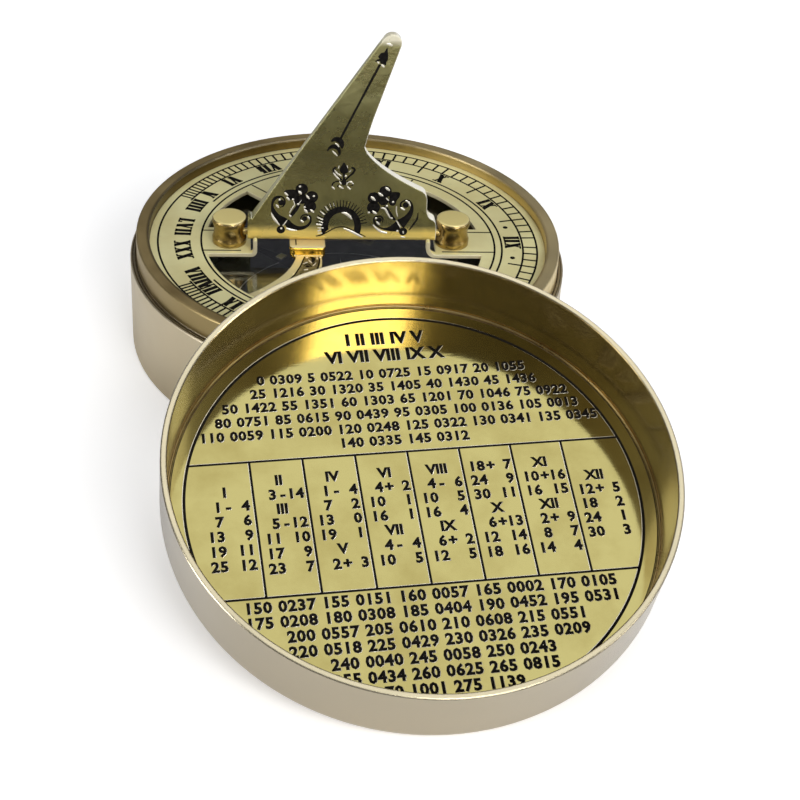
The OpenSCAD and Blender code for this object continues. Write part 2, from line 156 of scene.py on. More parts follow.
class FinishColours(PropertyGroup):
    case: FloatVectorProperty(
        name="Case", description="Turned brass of the case and the lid",
        subtype="COLOR", default=(0.62, 0.47, 0.21), min=0, max=1)
    # Painted shade inside the neck and the chamber
    bore: FloatVectorProperty(
        name="Bore", description="Brown tarnish inside the neck and the chamber",
        subtype="COLOR", default=(0.16, 0.11, 0.038), min=0, max=1)
    # Satin outer walls, painted paler as the reflection of the pale table; the case's walls are painted lighter, the
    # lid's darker
    skin: FloatVectorProperty(
        name="Outer walls", description="Pale satin brass of the outer walls",
        subtype="COLOR", default=(0.54, 0.465, 0.325), min=0, max=1)
    dial: FloatVectorProperty(
        name="Dial", description="Lacquered brass of the dial plate",
        subtype="COLOR", default=(0.82, 0.77, 0.41), min=0, max=1)
    lid_plate: FloatVectorProperty(
        name="Lid plate", description="Polished brass of the plate in the lid",
        subtype="COLOR", default=(0.355, 0.315, 0.122), min=0, max=1)
    gnomon: FloatVectorProperty(
        name="Gnomon", description="Polished brass of the gnomon",
        subtype="COLOR", default=(0.49, 0.465, 0.215), min=0, max=1)
    # Painted reflection of the dial in the foot of the gnomon's face
    gilt: FloatVectorProperty(
        name="Gilt foot", description="Warmer brass along the gnomon's foot",
        subtype="COLOR", default=(0.92, 0.69, 0.18), min=0, max=1)
    fittings: FloatVectorProperty(
        name="Fittings", description="Polished brass of the posts and the small parts",
        subtype="COLOR", default=(0.42, 0.30, 0.105), min=0, max=1)
    # Satin level tops, painted lighter than the darker sides of the fittings, as where the light falls
    tops: FloatVectorProperty(
        name="Fitting tops", description="Satin brass of the level faces of the small parts",
        subtype="COLOR", default=(0.86, 0.72, 0.29), min=0, max=1)
    # Pale brass of edges that handling wears bright, also painted on every rounded edge as a highlight
    edge: FloatVectorProperty(
        name="Worn edges", description="Brass that handling keeps bright",
        subtype="COLOR", default=(0.95, 0.90, 0.72), min=0, max=1)
    fill: FloatVectorProperty(
        name="Fill", description="Black fill of the engraving",
        subtype="COLOR", default=(0.010, 0.009, 0.008), min=0, max=1)


class StageSettings(PropertyGroup):
    camera_place: FloatVectorProperty(
        name="Camera", description="Place of the camera",
        subtype="TRANSLATION", default=(-0.02108, -0.27610, 0.18468))
    lens: FloatProperty(
        name="Lens", description="Focal length for a 36 mm wide sensor",
        default=81.53, min=10, max=300)
    floor_colour: FloatVectorProperty(
        name="Floor", description="Colour of the table top",
        subtype="COLOR", default=(0.86, 0.86, 0.86), min=0, max=1)


# ---------------------------------------------------------------- small tools


def select_only(*things):
    bpy.ops.object.select_all(action="DESELECT")
    for thing in things:
        thing.select_set(True)
    bpy.context.view_layer.objects.active = things[0]


def settle(*things):
    """Puts each object at the origin, with its place in its mesh."""
    select_only(*things)
    bpy.ops.object.transform_apply(location=True, rotation=True, scale=True)


def named(thing, name):
    thing.name = thing.data.name = name
    return thing


def join(name, things):
    select_only(*things)
    if len(things) > 1:
        bpy.ops.object.join()
    return named(bpy.context.object, name)


def curve_through(lines, closed):
    """A curve through lines of across, up and, where they have one, width, in millimetres."""
    bpy.ops.object.select_all(action="DESELECT")
    bpy.ops.curve.primitive_bezier_curve_add(location=(0, 0, 0))
    curve = bpy.context.object
    curve.data.splines.clear()
    for line in lines:
        spline = curve.data.splines.new("POLY")
        spline.points.add(len(line) - 1)
        for point, (x, y, *width) in zip(spline.points, line):
            point.co = (x * MM, y * MM, 0, 1)
            if width:
                point.radius = width[0] / 2
        spline.use_cyclic_u = closed
    return curve


def flat_shape(name, outlines, low, high):
    """A flat piece cut to closed outlines in millimetres, between two heights in metres."""
    shape = curve_through(outlines, closed=True)
    shape.data.dimensions = "2D"
    shape.data.fill_mode = "BOTH"
    shape.data.extrude = (high - low) / 2
    bpy.ops.object.convert(target="MESH")
    shape = bpy.context.object
    shape.location.z = (high + low) / 2
    settle(shape)
    return named(shape, name)


def flat_pieces(name, shapes, low, high):
    """Flat pieces that may touch or overlap, each cut on its own and then joined."""
    return join(name, [flat_shape(name, outlines, low, high) for outlines in shapes])


def beads(name, lines, depth):
    """Low rounded ridges along lines of across, up and width, half sunk in the face at height 0."""
    ways = []
    for line in lines:
        if len(line) == 1:
            (x, y, w), = line
            ways.append([(x - w / 2, y, 0.02), (x - w / 3, y, w * 0.8), (x, y, w), (x + w / 3, y, w * 0.8),
                         (x + w / 2, y, 0.02)])
        else:
            ways.append(eased(line, closed=False, parts=3))
    ridge = curve_through(ways, closed=False)
    ridge.data.dimensions = "3D"
    ridge.data.bevel_depth = MM
    ridge.data.bevel_resolution = 2
    ridge.data.use_fill_caps = True
    bpy.ops.object.convert(target="MESH")
    ridge = bpy.context.object
    ridge.scale.z = depth
    settle(ridge)
    bpy.ops.object.shade_smooth_by_angle(angle=1.0)
    return named(ridge, name)


def glint(engraving, name, offset):
    """A painted highlight beside an engraving: a bright copy that lies a little lower and to one side."""
    lower = -0.000006
    select_only(engraving)
    bpy.ops.object.duplicate()
    copy = named(bpy.context.object, name)
    bpy.ops.transform.translate(value=(offset[0], offset[1], lower))
    settle(copy)
    return copy


def eased(points, closed=True, parts=4):
    """A smooth line through the given points, each a tuple of numbers."""
    count, smooth = len(points), []
    for i in range(count if closed else count - 1):
        near = (points[(i + k) % count if closed else min(max(i + k, 0), count - 1)] for k in (-1, 0, 1, 2))
        corners = list(zip(*near))
        for part in range(parts):
            t = part / parts
            smooth.append(tuple(0.5 * (2 * q + (r - p) * t + (2 * p - 5 * q + 4 * r - s) * t * t
                                       + (3 * q - p - 3 * r + s) * t ** 3) for p, q, r, s in corners))
    if not closed:
        smooth.append(tuple(points[-1]))
    return smooth


def stroke(points):
    """Outline of a curved stroke through points of across, up and width."""
    line = eased(points, closed=False)
    return ribbon([(x, y) for x, y, _ in line], [w for _, _, w in line])


def way(degrees):
    """Direction in the dial's plane."""
    return Vector((math.cos(math.radians(degrees)), math.sin(math.radians(degrees))))


def round_points(radius, angles):
    return [(radius * math.cos(t), radius * math.sin(t)) for t in angles]


def circle(radius, count=160):
    return round_points(radius, (2 * math.pi * i / count for i in range(count)))


def hoop(outer, inner, count=160):
    """The two outlines of a whole ring."""
    return [circle(outer, count), circle(inner, count)]


def disc(x, y, radius, count):
    return [(x + radius * a, y + radius * b) for a, b in circle(1, count)]


def band(radius, width, start, end, count=140):
    """Outline of part of a ring, angles in degrees."""
    angles = [math.radians(start + (end - start) * i / count) for i in range(count + 1)]
    return round_points(radius + width / 2, angles) + round_points(radius - width / 2, reversed(angles))


def bar(start, end, width, width_end=None):
    """Outline of a straight stroke."""
    a, b = Vector(start), Vector(end)
    side = Vector((a.y - b.y, b.x - a.x)).normalized()
    far = width if width_end is None else width_end
    return [tuple(p) for p in (a + side * width / 2, a - side * width / 2, b - side * far / 2, b + side * far / 2)]


def ribbon(points, widths):
    """Outline of a curved stroke that changes width along its way."""
    left, right = [], []
    for i, point in enumerate(points):
        before, after = points[max(i - 1, 0)], points[min(i + 1, len(points) - 1)]
        side = Vector((before[1] - after[1], after[0] - before[0])).normalized()
        left.append((point[0] + side.x * widths[i] / 2, point[1] + side.y * widths[i] / 2))
        right.append((point[0] - side.x * widths[i] / 2, point[1] - side.y * widths[i] / 2))
    return left + right[::-1]


def own(piece, body, material):
    """Gives a finished piece its material and the body that it moves with."""
    piece.data.materials.clear()
    piece.data.materials.append(material)
    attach(piece, body)


def placed(piece, matrix, body, material):
    piece.matrix_world = matrix
    settle(piece)
    own(piece, body, material)


def engraved(name, shapes, level=0.0, height=None, depth=None):
    """Flat pieces that reach a little into a face at the given level and stand a little above it."""
    cut = bpy.context.scene.sundial_engraving
    low = level - (cut.sunk if depth is None else depth)
    return flat_pieces(name, shapes, low, level + (cut.proud if height is None else height))


# ---------------------------------------------------------------- finishes

# Where one tone starts to give way to another and where it has done so, in metres.
# From the axis of the case or the lid:
BORE_EDGE = (0.0356, 0.0352)
NECK_WALL = (0.0370, 0.0372)
OUTER_WALL = (0.0379, 0.0382)
# To the right of the case's axis, where light is painted on the case:
LIT_RIGHT_SIDE = (-0.005, 0.034)
# Above the table, and above the plate of the lid:
# Painted reflection of the dial along the gnomon's foot
FOOT_REFLECTION_BAND = (DIAL_Z + 4.4 * MM, DIAL_Z + 3.0 * MM)
# Painted highlight at the gnomon's tip
TIP_HIGHLIGHT_BAND = (DIAL_Z + 37.6 * MM, DIAL_Z + 38.8 * MM)
LID_LIP = (LID_DEPTH - 0.00012, LID_DEPTH - 0.00004)

# Painted light on the case's right side
LIT_RIGHT_BRASS = (0.88, 0.72, 0.38)
# Scales of the noise for the fine lines, and the radius in metres of the wall that they run up
LATHE_LINES = 2600
BRUSHED_LINES = 1500
WALL_RADIUS = 0.0375


def toned(colour, amount):
    """The same colour, lighter or darker."""
    return tuple(min(c * amount, 1) for c in colour)


def node(tree, kind, place, values=None, feeds=None, **settings):
    """Adds a shader node with its settings and values, and links what feeds it."""
    made = tree.nodes.new(kind)
    made.location = place
    for key, value in settings.items():
        setattr(made, key, value)
    for key, value in (values or {}).items():
        made.inputs[key].default_value = value
    for key, source in (feeds or {}).items():
        tree.links.new(source, made.inputs[key])
    return made


def fresh_material(name):
    material = bpy.data.materials.new(name)
    material.use_nodes = True
    tree = material.node_tree
    tree.nodes.clear()
    out = node(tree, "ShaderNodeOutputMaterial", (900, 0))
    shader = node(tree, "ShaderNodeBsdfPrincipled", (600, 0))
    tree.links.new(shader.outputs["BSDF"], out.inputs["Surface"])
    return material, tree, shader


def blend(tree, mask, under, over, place, data_type="RGBA"):
    """Goes from one colour or value to another by a mask. Each is written out or comes from a node."""
    mixed = node(tree, "ShaderNodeMix", place, feeds={"Factor": mask}, data_type=data_type)
    for socket, source in ((mixed.inputs["A"], under), (mixed.inputs["B"], over)):
        if isinstance(source, tuple):
            socket.default_value = (*source, 1)
        elif isinstance(source, float):
            socket.default_value = source
        else:
            tree.links.new(source, socket)
    return mixed.outputs["Result"]


def mask_between(tree, value, start, end, place, low=0.0, high=1.0):
    """A mask that goes from low to high while a node's value goes from start to end."""
    values = {"From Min": start, "From Max": end, "To Min": low, "To Max": high}
    return node(tree, "ShaderNodeMapRange", place, values, {"Value": value}).outputs["Result"]


def noise(tree, vector, place, **values):
    return node(tree, "ShaderNodeTexNoise", place, values, {"Vector": vector}).outputs["Fac"]


def raised(tree, height, strength, distance, place, normal=None):
    """Normal of a surface that a node's value raises."""
    feeds = {"Height": height} if normal is None else {"Height": height, "Normal": normal}
    return node(tree, "ShaderNodeBump", place, {"Strength": strength, "Distance": distance}, feeds).outputs["Normal"]


def two_tones(tree, value, place, *stops):
    """Colour that goes from one stop to the other, each a position and a colour."""
    ramp = node(tree, "ShaderNodeValToRGB", place, feeds={"Fac": value})
    for element, (position, colour) in zip(ramp.color_ramp.elements, stops):
        element.position = position
        element.color = (*colour, 1)
    return ramp.outputs["Color"]


def neck_tones(tree, tone, colour, bore, radius, across):
    """Painted shade inside the neck and a darker outer wall of the neck, which give way to painted light on the case's
    right side.
    """
    lit_right = mask_between(tree, across, *LIT_RIGHT_SIDE, (-750, 750))
    # Painted shade in the bore that lightens to the right, and a darker outer neck wall that turns to painted light at
    # the right
    inside = blend(tree, lit_right, bore, toned(colour, 1.2), (-450, 850))
    outside = blend(tree, lit_right, toned(colour, 0.6), LIT_RIGHT_BRASS, (-450, 1000))
    tone = blend(tree, lit_right, tone, LIT_RIGHT_BRASS, (-350, 700))
    tone = blend(tree, mask_between(tree, radius, *BORE_EDGE, (-560, 600)), tone, inside, (-250, 550))
    return blend(tree, mask_between(tree, radius, *NECK_WALL, (-560, 750)), tone, outside, (-250, 700))


def facing_mask(tree, axis, start, end, place, rounded):
    """Faces that look to the right (X), or up or down (Z), which take a colour painted lighter as where the light
    falls.
    """
    source = rounded if axis == "X" else place.outputs["Normal"]
    amount = node(tree, "ShaderNodeSeparateXYZ", (-1100, 900), feeds={"Vector": source}).outputs[axis]
    if axis != "X":
        amount = node(tree, "ShaderNodeMath", (-900, 900), feeds={0: amount}, operation="ABSOLUTE").outputs["Value"]
    return mask_between(tree, amount, start, end, (-700, 900))


def worn_edges(tree, tone, rounded, edge, wear_and_shine):
    """Edges worn bright and painted as highlights, found where the rounded normal turns away from the true one."""
    true = node(tree, "ShaderNodeNewGeometry", (-350, -800))
    apart = node(tree, "ShaderNodeVectorMath", (50, -750), feeds={0: rounded, 1: true.outputs["Normal"]},
                 operation="DOT_PRODUCT")
    rub_and_highlight = mask_between(tree, apart.outputs["Value"], 0.98, 0.80, (250, -750), high=wear_and_shine)
    return blend(tree, rub_and_highlight, tone, edge, (350, 300))


def brushed_wall(tree, parts, axial, normal):
    """Fine lines that run up and down a round wall."""
    around = node(tree, "ShaderNodeMath", (-900, -900), feeds={0: parts["Y"], 1: parts["X"]}, operation="ARCTAN2")
    arc = node(tree, "ShaderNodeMath", (-720, -900), {1: WALL_RADIUS}, {0: around.outputs["Value"]},
               operation="MULTIPLY")
    rise = node(tree, "ShaderNodeMath", (-720, -1050), {1: 0.04}, {0: parts["Z"]}, operation="MULTIPLY")
    along = node(tree, "ShaderNodeCombineXYZ", (-540, -900),
                 feeds={"X": arc.outputs["Value"], "Y": rise.outputs["Value"]})
    lines = noise(tree, along.outputs["Vector"], (-360, -900), Scale=BRUSHED_LINES, Detail=4)
    return raised(tree, lines, axial, 0.00003, (150, -900), normal)


def brass(name, colour, rough, rough_spread=0.08, metallic=1.0, on_lid=False, round_off=0.00026,
          stain=0.25, broad=90, cover=0.58, specks=0.12, scratches=0.12, turning=0.0, axial=0.0, waves=0.0, coat=0.0,
          bore=None, skin=None, rim=None, foot=None, tip=None, lit_facing=None, edge=None, wear_and_shine=0.5):
    """Brass with a slight tarnish and faint scratches.

    stain, broad and cover say how dark, how fine and how wide the tarnish is. turning, axial and waves are lathe
    lines, lines up the wall and a soft swell. bore is painted shade inside the neck, skin the outer walls painted paler
    as the reflection of the table, rim the lid's lip, foot a painted reflection of the dial along the gnomon's foot,
    tip a painted highlight at its tip and edge the colour of edges worn bright and painted as highlights. facing is
    an axis, where its mask starts and ends, a colour painted lighter as where the light falls and how metallic it is
    there.
    """
    material, tree, shader = fresh_material(name)
    place = node(tree, "ShaderNodeTexCoord", (-1500, 0))
    centred = node(tree, "ShaderNodeMapping", (-1300, 0), feeds={"Vector": place.outputs["Object"]},
                   vector_type="TEXTURE")
    if on_lid:
        matrix = lid_matrix()
        centred.inputs["Location"].default_value = matrix.translation
        centred.inputs["Rotation"].default_value = matrix.to_euler()
    spot = centred.outputs["Vector"]
    rounded = node(tree, "ShaderNodeBevel", (-1300, -650), {"Radius": round_off}, samples=4).outputs["Normal"]

    # Broad, soft tarnish, and small dark specks of age
    cloud = noise(tree, spot, (-900, 300), Scale=broad, Detail=5, Roughness=0.6)
    dull = tuple(c * (1 - stain) * k for c, k in zip(colour, (1.0, 0.95, 0.85)))
    tint = two_tones(tree, cloud, (-650, 300), (0.3, dull), (cover, colour))
    speck = noise(tree, spot, (-900, 600), Scale=900, Detail=2)
    speck_mask = mask_between(tree, speck, 0.68, 0.78, (-650, 600), high=specks)
    tone = blend(tree, speck_mask, tint, toned(colour, 0.35), (-350, 350))

    # Fine lines left by the lathe: they follow the radius on faces and the height on walls
    parts = node(tree, "ShaderNodeSeparateXYZ", (-1100, -200), feeds={"Vector": spot}).outputs
    flat = node(tree, "ShaderNodeCombineXYZ", (-900, -250), feeds={"X": parts["X"], "Y": parts["Y"]})
    radius = node(tree, "ShaderNodeVectorMath", (-720, -250), feeds={0: flat.outputs["Vector"]},
                  operation="LENGTH").outputs["Value"]
    both = node(tree, "ShaderNodeCombineXYZ", (-540, -250), feeds={"X": radius, "Y": parts["Z"]})
    lathe = noise(tree, both.outputs["Vector"], (-360, -250), Scale=LATHE_LINES, Detail=3)

    # Tones of places of their own, most of them painted shade, highlight or reflection
    sheen = metallic
    # Painted shade in the neck, and painted light on the case's right side
    if bore:
        tone = neck_tones(tree, tone, colour, bore, radius, parts["X"])
    # Outer walls painted paler, as they reflect the pale table
    if skin:
        tone = blend(tree, mask_between(tree, radius, *OUTER_WALL, (-360, 600)), tone, skin, (-150, 450))
    if rim:
        tone = blend(tree, mask_between(tree, parts["Z"], *LID_LIP, (-360, 950)), tone, rim, (-150, 750))
    # Painted reflection of the dial, warmer and less metallic, along the gnomon's foot
    if foot:
        low = mask_between(tree, parts["Z"], *FOOT_REFLECTION_BAND, (-360, 800))
        tone = blend(tree, low, tone, foot, (-150, 650))
        sheen = blend(tree, low, sheen, 0.3, (-150, 850), "FLOAT")
    # Painted highlight: the tip of the gnomon turns cream and less metallic
    if tip:
        high = mask_between(tree, parts["Z"], *TIP_HIGHLIGHT_BAND, (-360, 1050), high=0.8)
        tone = blend(tree, high, tone, tip, (-150, 1050))
        sheen = blend(tree, high, sheen, 0.1, (-150, 1250), "FLOAT")
    # Painted light: faces that look one way get a lighter, less metallic colour, as if lit from there
    if lit_facing:
        axis, start, end, lit_colour, lit_metallic = lit_facing
        lit_face = facing_mask(tree, axis, start, end, place, rounded)
        tone = blend(tree, lit_face, tone, lit_colour, (0, 650))
        sheen = blend(tree, lit_face, sheen, lit_metallic, (0, 850), "FLOAT")
    if isinstance(sheen, float):
        shader.inputs["Metallic"].default_value = sheen
    else:
        tree.links.new(sheen, shader.inputs["Metallic"])
    # Edges worn bright, with a painted highlight on every rounded edge
    if edge:
        tone = worn_edges(tree, tone, rounded, edge, wear_and_shine)
    tree.links.new(tone, shader.inputs["Base Color"])

    wear = mask_between(tree, cloud, 0.3, 0.7, (-300, 50), max(rough - rough_spread, 0.03), rough + rough_spread)
    tree.links.new(wear, shader.inputs["Roughness"])
    if coat:
        shader.inputs["Coat Weight"].default_value = coat
        shader.inputs["Coat Roughness"].default_value = 0.12

    # Relief of the surface, with random hairline scratches last
    normal = raised(tree, lathe, turning, 0.00002, (100, -300), rounded)
    if axial:
        normal = brushed_wall(tree, parts, axial, normal)
    if waves:
        normal = raised(tree, cloud, waves, 0.0008, (200, -600), normal)
    stretched = node(tree, "ShaderNodeMapping", (-900, -500), {"Rotation": (0.2, 0.3, 0.6), "Scale": (1, 14, 14)},
                     {"Vector": spot})
    hair = noise(tree, stretched.outputs["Vector"], (-700, -500), Scale=160, Detail=6, Distortion=0.4)
    normal = raised(tree, hair, scratches, 0.00003, (300, -400), normal)
    tree.links.new(normal, shader.inputs["Normal"])
    return material


def plain(name, colour, rough, metallic=0.0, spread=0.3, scale=300, bump=0.05, gloss=0.5):
    """A dull or dark finish with a slight variation in tone."""
    material, tree, shader = fresh_material(name)
    shader.inputs["Specular IOR Level"].default_value = gloss
    shader.inputs["Metallic"].default_value = metallic
    shader.inputs["Roughness"].default_value = rough
    place = node(tree, "ShaderNodeTexCoord", (-700, 0))
    cloud = noise(tree, place.outputs["Object"], (-500, 0), Scale=scale, Detail=4)
    tint = two_tones(tree, cloud, (-250, 100), (0.35, toned(colour, 1 - spread)), (0.65, toned(colour, 1 + spread)))
    tree.links.new(tint, shader.inputs["Base Color"])
    tree.links.new(raised(tree, cloud, bump, 0.00003, (250, -250)), shader.inputs["Normal"])
    return material


def clear_glass(name):
    material, _, shader = fresh_material(name)
    shader.inputs["Base Color"].default_value = (0.92, 0.95, 0.95, 1)
    shader.inputs["Roughness"].default_value = 0.02
    shader.inputs["IOR"].default_value = 1.6
    shader.inputs["Transmission Weight"].default_value = 1.0
    return material


def brass_kinds(tone):
    """What each brass of the compass has of its own."""
    case, wear_and_shine = tuple(tone.case), tuple(tone.edge)
    return {
        # The case's outer walls are painted lighter and the lid's darker
        "case": dict(
            name="case_brass", colour=case, rough=0.38, turning=0.3, scratches=0.05, stain=0.15,
            skin=toned(tone.skin, 1.22), bore=tuple(tone.bore), edge=wear_and_shine, round_off=0.00045),
        "lid": dict(
            name="lid_brass", colour=case, rough=0.22, rough_spread=0.04, scratches=0.03, stain=0.12, axial=0.3,
            specks=0.0, coat=0.6, on_lid=True, skin=toned(tone.skin, 0.9), rim=(0.50, 0.44, 0.29), edge=wear_and_shine,
            wear_and_shine=0.3),
        "lid_ring": dict(
            name="lid_ring_brass", colour=toned(case, 0.7), rough=0.3, rough_spread=0.05, scratches=0.03, stain=0.3,
            specks=0.0, on_lid=True),
        # The dial's edges are painted pale gold as highlights
        "dial": dict(
            name="dial_brass", colour=tuple(tone.dial), rough=0.45, rough_spread=0.05, scratches=0.06, stain=0.1,
            metallic=0.25, lit_facing=("Z", 0.75, 0.55, (0.92, 0.82, 0.52), 0.5), edge=wear_and_shine),
        "lid_plate": dict(
            name="lid_plate_brass", colour=tuple(tone.lid_plate), rough=0.09, rough_spread=0.03, turning=0.14,
            scratches=0.16, stain=0.2, specks=0.05, on_lid=True),
        # The gnomon's edges that look right are painted cream as highlights
        "gnomon": dict(
            name="gnomon_brass", colour=tuple(tone.gnomon), rough=0.27, rough_spread=0.1, scratches=0.1, stain=0.42,
            metallic=0.85, specks=0.0, broad=75, cover=0.66, waves=0.5, foot=tuple(tone.gilt), tip=wear_and_shine,
            lit_facing=("X", 0.2, 0.45, (1.0, 0.97, 0.85), 0.0)),
        # The fittings' tops are painted lighter than their sides, as where the light falls
        "fittings": dict(
            name="fitting_brass", colour=tuple(tone.fittings), rough=0.24, rough_spread=0.04, scratches=0.03,
            specks=0.0, round_off=0.0006, lit_facing=("Z", 0.6, 0.85, tuple(tone.tops), 0.35), edge=wear_and_shine, wear_and_shine=0.7),
        # The stay's tops are painted lighter than its sides, as where the light falls
        "stay": dict(
            name="stay_brass", colour=(1.0, 0.62, 0.08), rough=0.25, rough_spread=0.04, scratches=0.03, specks=0.0,
            lit_facing=("Z", 0.6, 0.85, (0.82, 0.72, 0.42), 0.4), edge=wear_and_shine, wear_and_shine=0.4),
    }


PLAIN_KINDS = {
    # Painted shade on the ground between the stay's borders
    "shade": dict(name="stay_ground_shade", colour=(0.20, 0.165, 0.08), rough=0.45, metallic=0.6, spread=0.5, scale=1500,
                  bump=0.4),
    # Dark lines in the shoulder and along the lid's seam
    "dark": dict(name="dark_line_brass", colour=(0.07, 0.05, 0.025), rough=0.6, spread=0.4, scale=900, gloss=0.1),
    # Pale finish of the ridges, painted as the highlights on the walls of the cuts
    "bright": dict(name="painted_highlight_brass", colour=(0.86, 0.82, 0.70), rough=0.3, metallic=0.35, spread=0.08),
    "card": dict(name="black_card", colour=(0.085, 0.085, 0.078), rough=0.7, gloss=0.2),
    "steel": dict(name="ground_steel", colour=(0.5, 0.5, 0.52), rough=0.3, metallic=1.0, spread=0.1),
    "blued": dict(name="blued_steel", colour=(0.03, 0.04, 0.12), rough=0.25, metallic=1.0),
    "jewel": dict(name="red_jewel", colour=(0.35, 0.02, 0.05), rough=0.1, spread=0.2),
    "rubber": dict(name="gasket_rubber", colour=(0.02, 0.02, 0.02), rough=0.8),
    "white": dict(name="white_marking", colour=(0.75, 0.75, 0.72), rough=0.6, spread=0.05),
}
finishes = {}


def finish(key):
    """Each finish is mixed once and shared."""
    if key not in finishes:
        tone = bpy.context.scene.sundial_colours
        brasses = brass_kinds(tone)
        if key in brasses:
            finishes[key] = brass(**brasses[key])
        elif key == "glass":
            finishes[key] = clear_glass("window_glass")
        elif key == "fill":
            finishes[key] = plain("engraving_fill", tuple(tone.fill), 0.8, spread=0.5, scale=2000, gloss=0.05)
        else:
            finishes[key] = plain(**PLAIN_KINDS[key])
    return finishes[key]


NODE_FINISHES = {
    "base_body": "case", "compass_card": "card", "degree_ring": "card", "card_screws": "fittings",
    "pivot_boss": "fittings", "pivot_pin": "steel", "needle": "blued", "needle_weight": "fittings",
    "needle_cap": "fittings", "cap_jewel": "jewel", "glass_gasket": "rubber", "glass": "glass",
    "plate_seat": "fittings", "dial_plate": "dial", "post_left_pillar": "fittings",
    "post_right_pillar": "fittings", "post_nuts": "fittings", "hinge_rod": "fittings",
    "gnomon": "gnomon", "gnomon_stay": "stay", "stay_rivets": "fittings", "lid_shell": "lid",
    "lid_plate": "lid_plate", "lid_ring": "lid_ring",
}


class SUNDIAL_OT_finish_parts(Operator):
    """Gives every part of the frame its metal, card, rubber or glass"""

    bl_idname = "sundial.finish_parts"
    bl_label = "Finish the parts"

    def execute(self, context):
        for name, key in NODE_FINISHES.items():
            part = frame["nodes"][name]
            part.data.materials.clear()
            part.data.materials.append(finish(key))
        return {"FINISHED"}


# ---------------------------------------------------------------- dial

# In millimetres and degrees: where the lines along the tongues end, the sides of the fan and the start and end
# of their lines, the two lines in the shoulder (radius and half width), and the dots beside the noon numeral
TONGUE_ENDS = ((-1, -19.0), (1, 16.3))
FAN_SIDES = ((134, -1), (56, 1))
FAN_FAR, FAN_NEAR = 25.6, 10.5
SHOULDER_GROOVES = ((37.42, 0.12), (37.95, 0.07))
DOT_AT, DOT_ANGLE, DOT_RADIUS = 29.1, 10.35, 0.45
HALF_HOUR_EXTRA = 2.4
# In metres: how much higher than the circles the ticks and the numerals stand, so that no two fills share a plane
TICKS_OVER, NUMERALS_OVER = 0.000002, 0.000004
# In millimetres: how far inside the tick band the feet of the numerals stand
NUMERAL_INSET = 0.3
# Gaps between letters, as a share of their height
NUMERAL_GAP, LATITUDE_GAP = 0.03, 0.06


def hour_ray(sizes, hours):
    """Start and direction, in millimetres, of the line for a time before (-) or after (+) noon."""
    angle = math.radians(15 * abs(hours))
    turn = math.atan2(sizes.latitude_sine * math.sin(angle), math.cos(angle))
    side = -1 if hours > 0 else 1
    start = Vector((-sizes.style_foot / MM, (side * sizes.noon_gap + MOUNT_Y) / MM))
    return start, Vector((math.cos(turn), side * math.sin(turn)))


def ring_angle(sizes, hours, radius):
    """Direction, in degrees, of the point where an hour line meets a circle."""
    start, along = hour_ray(sizes, hours)
    half = start.dot(along)
    reach = -half + math.sqrt(half * half - start.length_squared + radius * radius)
    point = start + along * reach
    return math.degrees(math.atan2(point.y, point.x))


class SUNDIAL_OT_dial_circles(Operator):
    """Engraves the dial's circles and the border lines of its tongues and fan"""

    bl_idname = "sundial.dial_circles"
    bl_label = "Dial circles"

    def execute(self, context):
        sizes = context.scene.sundial_dial
        wide = sizes.line_width / MM
        outer, inner = sizes.outer_ring / MM, sizes.inner_ring / MM
        start, end = ring_angle(sizes, sizes.last_hour, inner), ring_angle(sizes, -sizes.last_hour, inner)
        short = 3
        double, middle = sizes.double_inner / MM, MOUNT_Y / MM
        shapes = [hoop(r + wide / 2, r - wide / 2) for r in (outer, double)]
        shapes.append([band(inner, wide, start, end)])
        shapes.append([band(sizes.double_outer / MM, wide, start + short, end - short)])
        for up in (middle - sizes.tongue_line / MM, middle + sizes.tongue_line / MM):
            reach = math.sqrt(double * double - up * up)
            for side, foot in TONGUE_ENDS:
                shapes.append([bar((side * reach, up), (foot, up), wide * 0.9)])
        for angle, outward in FAN_SIDES:
            along = way(angle)
            edge = Vector((along.y, -along.x)) * -outward * sizes.fan_line / MM
            shapes.append([bar(edge + along * FAN_FAR, edge + along * FAN_NEAR, wide * 0.9)])
        own(engraved("dial_circles", shapes, sizes.face_z), "case", finish("fill"))
        return {"FINISHED"}


class SUNDIAL_OT_shoulder_lines(Operator):
    """Cuts two dark lines into the shoulder at the foot of the neck"""

    bl_idname = "sundial.shoulder_lines"
    bl_label = "Shoulder lines"

    def execute(self, context):
        shapes = [hoop(radius + half, radius - half, 200) for radius, half in SHOULDER_GROOVES]
        own(engraved("shoulder_lines", shapes, NECK_TOP - NECK_H), "case", finish("dark"))
        return {"FINISHED"}


class SUNDIAL_OT_card_marks(Operator):
    """Prints degree marks on the ring and an eight pointed star on the card of the compass"""

    bl_idname = "sundial.card_marks"
    bl_label = "Card marks"

    def execute(self, context):
        ring_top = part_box("degree_ring")[1]
        reach = ring_top.x / MM
        ring_width, margin, mark_width = 3.2, 0.5, 0.22
        marks = []
        for degree in range(0, 360, 5):
            long = 1.9 if degree % 30 == 0 else 1.3 if degree % 10 == 0 else 0.8
            along = way(degree)
            marks.append([bar(along * (reach - margin), along * (reach - margin - long), mark_width)])
        own(engraved("degree_marks", marks, ring_top.z), "case", finish("white"))

        inner = reach - ring_width
        star_foot, star_half, circle_at, circle_width = 3.4, 1.1, 0.68 * inner, 0.2
        star = []
        for k in range(8):
            tip = 0.62 * inner if k % 2 == 0 else 0.42 * inner
            along = way(45 * k)
            side = Vector((-along.y, along.x))
            star.append([[tuple(along * star_foot - side * star_half), tuple(along * tip), tuple(along * star_foot)]])
        star.append(hoop(circle_at, circle_at - circle_width))
        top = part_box("compass_card")[1].z
        own(engraved("card_star", star, top), "case", finish("white"))
        return {"FINISHED"}


